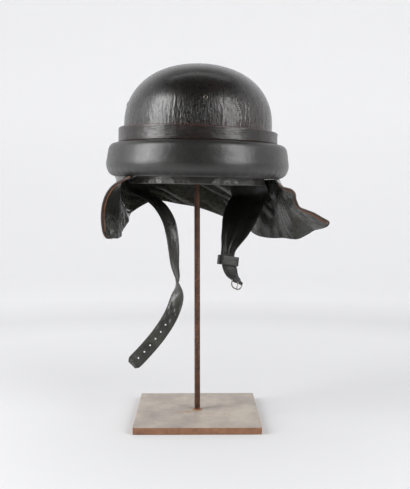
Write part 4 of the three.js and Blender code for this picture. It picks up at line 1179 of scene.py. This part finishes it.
def strap_stitches(name, strap, start, stop, pitch, relief):
    """Stitches on both faces, inside both edges of a strap, between two lengths from its free end."""
    t = strap_place(strap, np.arange(stop, start, pitch)[::-1])
    _, along, _, through = strap_frame(strap, t)
    inset = (0.5 - SEAM_INSET / (STRAP_WIDTH * column(strap[0], "width", t)))[:, None]
    places, ups = [], []
    for c_side in (-1, 1):
        for h_side in (-1, 1):
            places.append(strap_points(strap, t, c_side * inset, np.full_like(inset, h_side), relief)[:, 0])
            ups.append(through * h_side)
    row = stitch_row(
        name, np.concatenate(places), np.tile(along, (4, 1)), np.concatenate(ups), pitch * 0.72, 0.62
    )
    placed(no_uv(row), HELMET, "strap_leather", thread)


def make_long_strap():
    """Long half: the strap's grid, pierced by its holes and its slit, and its stitches."""
    points, uv, t, c = strap_grid(LONG, 380, long_relief)
    strap = from_grids("long_strap", [worn(points)], uv, strap_marks(t, c))
    cutters = []
    holes = strap_place(LONG, FIRST_HOLE + HOLE_PITCH * np.arange(HOLES))
    for at in holes:
        middle, along, across, through = strap_axes(LONG, at)
        cutters.append(worn(set_in(pin(HOLE_RADIUS, 4, 18), along, across, through, middle)))
    at = strap_place(LONG, [SLIT_FROM_END])
    middle, along, across, through = strap_axes(LONG, at)
    slit = pin(1, 4, 18) * [1.0, 2.5, 1.0]
    cutters.append(worn(set_in(slit, across, along, through, middle)))
    pierced(strap, cutters)
    placed(strap, HELMET, "strap_leather", strap_leather, "chin_strap_long")
    strap_stitches("long_strap_stitches", LONG, 255, 8, 3.2, long_relief)


def make_short_strap():
    """Short half: the strap's grid with slot and bore for the buckle, two folds round the bar, stitches."""
    points, uv, t, c = strap_grid(SHORT, 260, short_relief)
    strap = from_grids("short_strap", [worn(points)], uv, strap_marks(t, c))
    middle, along, across, through = strap_axes(SHORT, 1.0)
    slot = from_box(1.4, 15, 6)
    slot[..., 1] -= 5.5
    bore = pin(BAR_BORE, 30, 24)
    # One cut after the other, because the slot and the bore cross each other.
    pierced(strap, [worn(set_in(slot, across, along, through, middle))])
    pierced(strap, [worn(set_in(bore, along, through, across, middle))])
    placed(strap, HELMET, "strap_leather", shaded_strap_leather, "chin_strap_short")
    for name, low, high in (("bar_fold_a", -11.0, -1.5), ("bar_fold_b", 1.5, 11.0)):
        rows = [(BAR_BORE, low), (2.0, low), (2.5, low + 0.5), (2.55, (low + high) / 2)]
        rows += [(2.5, high - 0.5), (2.0, high), (BAR_BORE, high), (BAR_BORE, low)]
        ring = turned(rows, 32)
        loop = from_grids(name, [worn(set_in(ring, along, through, across, middle))])
        placed(no_uv(loop), HELMET, "strap_leather", shaded_strap_leather)
    strap_stitches("short_strap_stitches", SHORT, 150, 9, 3.2, short_relief)


def from_box(x, y, z):
    """Closed box as a grid: a square ring carried up and shut at both ends, half sizes x, y and z."""
    ring = np.array([(1, -1), (1, 1), (-1, 1), (-1, -1), (1, -1)], float)
    levels = [(0.0, -z), (1.0, -z), (1.0, z), (0.0, z)]
    return np.stack([xyz(ring[:, 0] * x * s, ring[:, 1] * y / 2 * s, h) for s, h in levels])


def make_keeper():
    """Loose keeper: a flat leather section carried round a rounded rectangle."""
    tilt = math.radians(KEEPER_TILT)
    depth = KEEPER_LENGTH * math.sin(tilt) + STRAP_WALL * 2.2 / math.cos(tilt) + 9 * CLEARANCE
    wall, length, half_x, half_y = 1.6, KEEPER_LENGTH, KEEPER_WIDTH / 2, depth / 2
    turn = circle(97)
    power = 2 / 5.0
    cx, cy = np.cos(turn), np.sin(turn)
    x = (half_x + wall / 2) * np.sign(cx) * np.abs(cx) ** (power * 0.95)
    y = (half_y + wall / 2) * np.sign(cy) * np.abs(cy) ** power
    out = unit(np.stack([np.sign(cx) * np.abs(cx) ** 0.9 / 1.4, np.sign(cy) * np.abs(cy) ** 0.5, 0 * cx], -1))
    loop = [(-1, -0.5), (-0.8, -0.5), (0.8, -0.5), (1, -0.4), (1, 0.4)]
    loop = np.array(loop + [(0.8, 0.5), (-0.8, 0.5), (-1, 0.4), (-1, -0.4)])
    sag = -2.6 * (0.5 - 0.5 * np.sin(turn)) * (1 - (x / half_x) ** 2 * 0.6)
    points = xyz(x, y, sag)[:, None] + out[:, None] * (loop[:, 0] * wall / 2)[None, :, None]
    points[..., 2] += loop[:, 1] * length
    points[..., 2] += 0.3 * sway(x[:, None] / 6, y[:, None] / 6, 81, z=loop[:, 1] * 3)
    points[-1] = points[0]
    t = strap_place(SHORT, [KEEPER_FROM_END])
    middle, along, across, through = strap_axes(SHORT, t)
    across, along = about(across, through, KEEPER_TURN), about(along, through, KEEPER_TURN)
    axis = about(along, across, KEEPER_TILT)
    world = worn(set_in(points, across, np.cross(axis, across), axis, middle))
    run = (turn * 12 / 1000)[:, None]
    uv = uv_pairs(loop[:, 1] * length / 1000, run)
    keeper = from_grids(
        "keeper_loop", [world], uv, {"wear": 0.1 + 0.5 * (np.abs(loop[:, 1]) > 0.45), "wrinkle": 0.8}
    )
    placed(keeper, HELMET, "strap_leather", shaded_strap_leather, "strap_keeper")


def about(vector, axis, degrees):
    """Turns a vector about an axis of length one."""
    c, s = math.cos(math.radians(degrees)), math.sin(math.radians(degrees))
    return vector * c + np.cross(axis, vector) * s + axis * np.dot(axis, vector) * (1 - c)


def make_buckle():
    """Wire bow on a straight bar, and a prong bent from finer wire round the bar."""
    middle, along, across, _ = strap_axes(SHORT, 1.0)
    hang = about(along, across, BUCKLE_HANG)
    up = np.cross(across, hang)
    radius = WIRE / 2
    half = STRAP_WIDTH / 2 + CLEARANCE + 0.1 + radius
    half_bow = [(-1, 0), (-1, 0.28), (-0.90, 0.62), (-0.60, 0.90), (0, 1.0)]
    rows = half_bow + [(-x, y) for x, y in half_bow[-2::-1]]
    bow = curve([(x * half, y * BOW_DEPTH, 0) for x, y in rows], np.linspace(0, 1, 120))
    bar = xyz(np.linspace(-half - radius * 0.5, half + radius * 0.5, 40), 0, 0)
    grids = [tube(bow, np.array([0, 0, 1.0]), radius, 18), tube(bar, np.array([0, 0, 1.0]), radius, 18)]
    wire = from_grids("buckle_wire", [worn(set_in(g, across, hang, up, middle)) for g in grids])
    placed(wire, "buckle_frame", "bright_steel", bright_steel, "buckle_frame")
    inner = radius + CLEARANCE
    outer = inner + 0.8
    mid, thick = (inner + outer) / 2, 0.4
    turn, small = circle(41)[:, None], circle(13)
    size = mid + thick * np.cos(small)
    ring = xyz(0.75 * np.sin(small) + 0 * turn, size * np.cos(turn), size * np.sin(turn))
    start = np.array([0, 0, -mid])
    rest = np.array([0, BOW_DEPTH, -(radius + 0.8 + CLEARANCE)])
    way = unit(rest - start)
    path = start + way * np.linspace(0, PRONG_LENGTH, 40)[:, None]
    shaft = tube(path, np.array([1.0, 0, 0]), PRONG_RADIUS, 14)
    prong = from_grids("buckle_tongue", [worn(set_in(g, across, hang, up, middle)) for g in (ring, shaft)])
    placed(prong, "buckle_prong", "bright_steel", bright_steel, "buckle_prong")


# ---------------------------------------------------------------- light, floor and backdrop


def make_stage():
    """Pale cyclorama: a floor that bends up into a wall, its line turned 98 degrees each way from +Y."""
    bend = np.linspace(0, math.pi / 2, 16)
    line = [(r, 0.0) for r in (0.0, 0.6, 1.2, 1.8)]
    foot = WALL_AWAY - WALL_BEND
    line += [(foot + WALL_BEND * math.sin(a), WALL_BEND - WALL_BEND * math.cos(a)) for a in bend[1:]]
    line += [(WALL_AWAY, z) for z in (1.2, 1.7, 2.2, 2.7, 3.2, 3.6)]
    away, z = np.array(line).T
    turn = np.radians(np.linspace(-WALL_REACH, WALL_REACH, 90))[:, None]
    wall = from_grids("cyclorama", [xyz(away * np.sin(turn), away * np.cos(turn), z - 0.0002)])
    front = xyz(np.array([-2.6, 2.6])[:, None], np.array([-2.9, 0.0]), -0.0003)
    floor = from_grids("floor", [front])
    for thing in (wall, floor):
        thing.data.polygons.foreach_set("use_smooth", np.ones(len(thing.data.polygons), bool))
    paper = {
        "Base Color": tone("#cfcfd0"), "Roughness": 0.9, "Specular IOR Level": 0.1,
        "Emission Color": tone("#f4f4f6")
    }

    def make(tree):
        """The shader's inputs by name."""
        place = add(tree, "ShaderNodeTexCoord").outputs["Object"]
        far = add(tree, "ShaderNodeVectorMath", {0: place}, operation="LENGTH").outputs["Value"]
        stops = [(0.0, 0.11), (0.11, 0.26), (0.27, 0.41), (0.80, 0.41), (1.0, 0.10)]
        glow = add(tree, "ShaderNodeValToRGB", {"Fac": worked(tree, "DIVIDE", far, 4.5)}, stops)
        back = add(tree, "ShaderNodeSeparateXYZ", {"Vector": place}).outputs["Y"]
        behind, near = ranged(tree, back, -0.4, 1.2, 0.15, 1.0), ranged(tree, far, 0.7, 1.7, 1.0, 0.0)
        kept = worked(tree, "MAXIMUM", behind, near)
        return {"Emission Strength": worked(tree, "MULTIPLY", glow.outputs["Color"], kept)}

    # Seamless paper, matt and very pale, lit most behind the part and fading at the sides and top.
    pale = finished("seamless_paper", make, **paper)
    for thing in (wall, floor):
        thing.data.materials.append(pale)


def make_light(name, place, aim, size, power):
    """A flat soft light at a place, turned to its aim, its power in watts."""
    data = bpy.data.lights.new(name, "AREA")
    data.shape, data.size, data.size_y, data.energy = "RECTANGLE", size[0], size[1], power
    light = bpy.data.objects.new(name, data)
    light.location = place
    light.rotation_euler = (Vector(aim) - Vector(place)).to_track_quat("-Z", "Y").to_euler()
    bpy.context.scene.collection.objects.link(light)


def make_lights():
    """Two tall soft boxes beside the camera, and a weak wide one over the backdrop."""
    make_light("soft_box_left", (-1.42, -0.52, 0.95), (0, 0, 0.45), (0.75, 1.4), 31)
    make_light("soft_box_right", (1.22, -0.95, 1.0), (0, 0, 0.45), (0.75, 1.4), 24.5)
    make_light("wall_fill", (0, 0.9, 2.6), (0, 2.4, 0.6), (2.2, 0.6), 6)
    world = bpy.data.worlds.new("studio")
    world.use_nodes = True
    world.node_tree.nodes["Background"].inputs["Color"].default_value = tone("#b9bbc0")
    world.node_tree.nodes["Background"].inputs["Strength"].default_value = 0.08
    bpy.context.scene.world = world
    bpy.context.scene.view_settings.view_transform = "Standard"
    bpy.context.scene.view_settings.look = "None"


make_plate()
make_rod()
make_crown()
make_eyelets()
make_band()
make_roll()
make_headband()
make_curtain()
make_piping(0, "flap_left", "edge_piping_left")
make_piping(1, "flap_right", "edge_piping_right")
make_long_strap()
make_short_strap()
make_keeper()
make_buckle()
make_stage()
make_lights()
